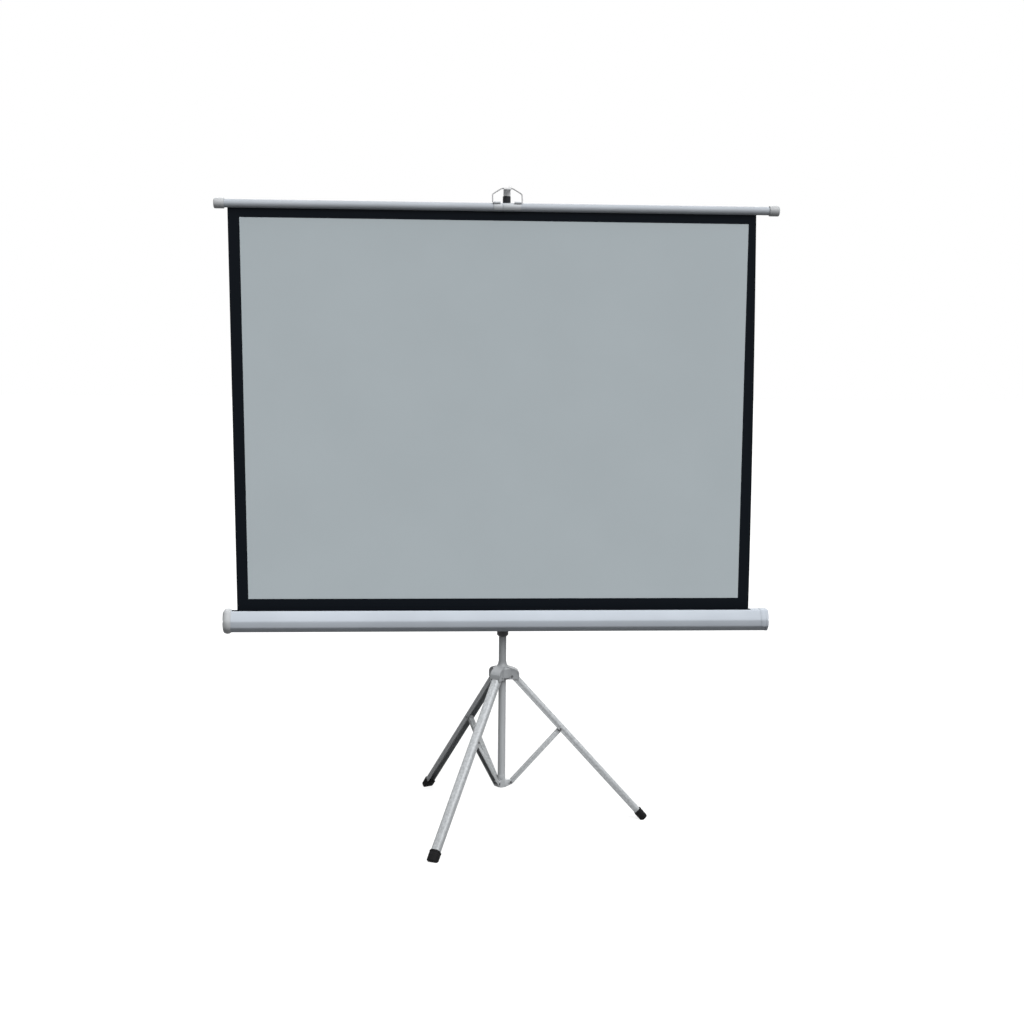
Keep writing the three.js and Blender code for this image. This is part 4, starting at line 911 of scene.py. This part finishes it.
class SCREEN_OT_case(bpy.types.Operator):
    """Finishes the roller case and what carries it"""

    bl_idname = "screen.case"
    bl_label = "Case"

    def execute(self, context):
        for side in SIDES:
            finished(
                f"case_cap_{side}",
                shape=lambda piece: case_cap_form(piece, side),
                finish="case_metal" if side == "right" else None,
            )
        finished("case_shell", ROLLED_EDGE, 1, shape=wide_slot)
        finished("case_sleeve", CLAMP_EDGE)
        finished("sleeve_knob", KNOB_EDGE, 3, shape=dished_knob)
        finished("case_bracket", BRACKET_EDGE)
        for i in range(1, 5):
            finished(f"bracket_bolt_{i}", ROLLED_EDGE, shape=cross_recess)
        dress_inside(
            "roller_tube",
            "wound_fabric",
            "roller_plug_left",
            "roller_plug_right",
            "spring_spindle",
            "roller_gudgeon",
            "roller_spring",
        )
        return {"FINISHED"}


# Tripod


def ribbed_foot(piece, leg):
    """A lip and two ribs round a rubber foot."""
    pivot = middle_of(f"hub_rivet_{leg}")
    axis = (middle_of(f"strut_rivet_{leg}") - pivot).normalized()
    top = min((vertex.co - pivot).dot(axis) for vertex in piece.data.vertices)
    for low, high, height in FOOT_BANDS:
        raised_band(piece, pivot, axis, top + low, top + high, height)


def add_disc(radius, depth, middle, axis):
    """A short cylinder along an axis."""
    deselect_all()
    bpy.ops.mesh.primitive_cylinder_add(
        vertices=DISC_SIDES,
        radius=radius,
        depth=depth,
        location=middle,
        rotation=axis.to_track_quat("Z", "Y").to_euler(),
    )
    bpy.ops.object.transform_apply(location=True, rotation=True, scale=True)
    return bpy.context.active_object


def recess_cutter(middle, across, inward):
    """A ring segment round a boss, between two planes that look into it."""
    cutter = add_disc(RECESS_RADIUS, 2 * RECESS_DEPTH, middle, across)
    cut_with(cutter, add_disc(BOSS_RADIUS, 4 * RECESS_DEPTH, middle, across))
    bpy.ops.object.mode_set(mode="EDIT")
    for normal in inward:
        bisect_all(middle, normal, use_fill=True, clear_inner=True)
    bpy.ops.object.mode_set(mode="OBJECT")
    return cutter


def hood_recess(hub, leg, side):
    """Sinks one side of a hood between its rim and the boss round its rivet."""
    pivot = middle_of(f"hub_rivet_{leg}")
    column = middle_of("column_tube")
    outward = Vector((pivot.x - column.x, pivot.y - column.y, 0)).normalized()
    across = side * Vector((-outward.y, outward.x, 0))
    middle = pivot + HOOD_HALF_WIDTH * across
    start, end = (math.radians(angle) for angle in RECESS_ANGLES)
    inward = [
        math.cos(angle) * outward + math.sin(angle) * UP
        for angle in (start + math.pi / 2, end - math.pi / 2)
    ]
    cut_with(hub, recess_cutter(middle, across, inward))

    def sunk(face):
        offset = face.center - middle
        depth = -offset.dot(across)
        reach = (offset + depth * across).length
        return (
            RECESS_EASE < depth < RECESS_DEPTH + RECESS_EASE
            and BOSS_RADIUS - RECESS_EASE < reach < RECESS_RADIUS + RECESS_EASE
            and all(offset.dot(normal) > -RECESS_EASE for normal in inward)
        )

    select_faces(hub, sunk)
    bpy.ops.mesh.region_to_loop()
    bpy.ops.mesh.bevel(offset=RECESS_ROUNDING, segments=2, affect="EDGES", clamp_overlap=True)
    bpy.ops.object.mode_set(mode="OBJECT")


def recessed_hub():
    """The hub with a sunk panel on both sides of each hood, and its flat faces evenly lit."""
    # The hub takes the darker copy of the silver paint, which paints shade onto it.
    hub = finished("hub", CAST_EDGE, 3, finish="column_paint")
    for leg in LEGS:
        for side in (-1, 1):
            hood_recess(hub, leg, side)
    pick(hub)
    bpy.ops.object.shade_smooth_by_angle(angle=SHARP_ANGLE)
    apply_modifier(hub, "Flat faces", "WEIGHTED_NORMAL", keep_sharp=True)


class SCREEN_OT_tripod(bpy.types.Operator):
    """Finishes the hub, the spider, the legs, struts, feet and rivets"""

    bl_idname = "screen.tripod"
    bl_label = "Tripod"

    def execute(self, context):
        recessed_hub()
        finished("spider", SPIDER_EDGE, 3)
        smoother(finished("rod_rivet", CAST_EDGE, 3, finish="silver_paint"))
        for leg in LEGS:
            finished(f"leg_{leg}", ROLLED_EDGE, finish="leg_paint")
            # Struts take the lighter copy of the silver paint, which paints extra light onto them.
            finished(f"strut_{leg}", ROLLED_EDGE, finish="strut_paint")
            finished(f"foot_{leg}", BRACKET_EDGE, shape=lambda piece: ribbed_foot(piece, leg))
            for kind in ("hub", "strut", "spider"):
                # The front hub rivet is painted over in the darker copy of the silver paint, which carries
                # painted shade.
                painted = "column_paint" if (kind, leg) == ("hub", "front") else None
                smoother(finished(f"{kind}_rivet_{leg}", CAST_EDGE, 3, finish=painted))
        return {"FINISHED"}


# Stage


def seen_directly(tree):
    """One where a camera, glossy or transmission ray looks, and zero for bounced light."""
    rays = tree.nodes.new("ShaderNodeLightPath").outputs
    mirror = math_node(tree, "MAXIMUM", rays["Is Glossy Ray"], rays["Is Transmission Ray"])
    return math_node(tree, "MAXIMUM", rays["Is Camera Ray"], mirror)


def split_view(tree, bounced, seen, output):
    """Ends a tree in one shader for bounced light and another where it is seen."""
    blend = add_node(
        tree, "ShaderNodeMixShader", i0=seen_directly(tree), i1=bounced.outputs[0], i2=seen.outputs[0]
    )
    add_node(tree, output, Surface=blend.outputs[0])


def grey(value):
    return (value, value, value, 1)


def lay_floor():
    """A pale floor that keeps the object's shadow and throws little light back."""
    deselect_all()
    bpy.ops.mesh.primitive_plane_add(size=FLOOR_SIZE)
    floor = bpy.context.active_object
    floor.name = "studio_floor"
    made = bpy.data.materials.new("studio_floor")
    made.use_nodes = True
    tree = made.node_tree
    tree.nodes.clear()
    bounce = add_node(tree, "ShaderNodeBsdfDiffuse", Color=grey(FLOOR_BOUNCE))
    shadowed = add_node(tree, "ShaderNodeBsdfDiffuse", Color=grey(FLOOR_SHADOW))
    glow = add_node(tree, "ShaderNodeEmission", Strength=FLOOR_GLOW)
    pale = add_node(tree, "ShaderNodeAddShader", i0=shadowed.outputs[0], i1=glow.outputs[0])
    split_view(tree, bounce, pale, "ShaderNodeOutputMaterial")
    give(floor, made)


def light_studio(scene, settings):
    """A white surrounding with a soft fill, a key light and a light from behind."""
    world = bpy.data.worlds.new("studio_world")
    scene.world = world
    world.use_nodes = True
    tree = world.node_tree
    tree.nodes.clear()
    fill = add_node(tree, "ShaderNodeBackground", Color=grey(1), Strength=settings.sky)
    white = add_node(tree, "ShaderNodeBackground", Color=grey(1), Strength=1.0)
    split_view(tree, fill, white, "ShaderNodeOutputWorld")
    for name, energy, (tip, turn) in (
        ("key", settings.sun, KEY_TURN),
        ("back_light", settings.back, BACK_TURN),
    ):
        bpy.ops.object.light_add(type="SUN", rotation=(math.radians(tip), 0, math.radians(turn)))
        lamp = bpy.context.active_object
        lamp.name = name
        lamp.data.energy = energy
        lamp.data.angle = LAMP_SPREAD


def set_camera(scene, settings):
    """A camera at the eye, turned, tilted and rolled as the settings say."""
    turn, tilt, roll = settings.aim
    forward = Vector((math.sin(turn) * math.cos(tilt), math.cos(turn) * math.cos(tilt), -math.sin(tilt)))
    level = Vector((math.cos(turn), -math.sin(turn), 0))
    rise = level.cross(forward)
    right = math.cos(roll) * level + math.sin(roll) * rise
    up = math.cos(roll) * rise - math.sin(roll) * level
    bpy.ops.object.camera_add()
    camera = bpy.context.active_object
    camera.name = "camera"
    camera.data.lens = settings.lens
    camera.data.sensor_width = SENSOR_WIDTH
    camera.data.clip_end = FAR_CLIP
    pose = Matrix((right, up, -forward)).transposed().to_4x4()
    pose.translation = Vector(settings.eye)
    camera.matrix_world = pose
    scene.camera = camera


class SCREEN_OT_stage(bpy.types.Operator):
    """Lays the floor, lights the studio and sets the camera"""

    bl_idname = "screen.stage"
    bl_label = "Stage"

    def execute(self, context):
        settings = context.scene.projection_screen.stage
        lay_floor()
        light_studio(context.scene, settings)
        set_camera(context.scene, settings)
        context.scene.view_settings.view_transform = "Standard"
        return {"FINISHED"}


class SCREEN_PT_panel(bpy.types.Panel):
    """Lists the screen's pieces and settings"""

    bl_idname = "SCREEN_PT_panel"
    bl_label = "Projection Screen"
    bl_space_type = "VIEW_3D"
    bl_region_type = "UI"
    bl_category = "Screen"

    def draw(self, context):
        for operator in OPERATORS:
            self.layout.operator(operator.bl_idname)
        settings = context.scene.projection_screen
        for group in (settings.sheet, settings.finish, settings.stage):
            box = self.layout.box()
            for key in group.__annotations__:
                box.prop(group, key)


GROUPS = (SCREEN_PG_sheet, SCREEN_PG_finish, SCREEN_PG_stage, SCREEN_PG_settings)
OPERATORS = (
    SCREEN_OT_sheet,
    SCREEN_OT_bar,
    SCREEN_OT_column,
    SCREEN_OT_case,
    SCREEN_OT_tripod,
    SCREEN_OT_stage,
)


def register():
    for made in (*GROUPS, *OPERATORS, SCREEN_PT_panel):
        bpy.utils.register_class(made)
    bpy.types.Scene.projection_screen = bpy.props.PointerProperty(type=SCREEN_PG_settings)


def unregister():
    del bpy.types.Scene.projection_screen
    for made in reversed((*GROUPS, *OPERATORS, SCREEN_PT_panel)):
        bpy.utils.unregister_class(made)


def main():
    register()
    bpy.ops.screen.sheet()
    bpy.ops.screen.bar()
    bpy.ops.screen.column()
    bpy.ops.screen.case()
    bpy.ops.screen.tripod()
    bpy.ops.screen.stage()


if __name__ == "__main__":
    main()
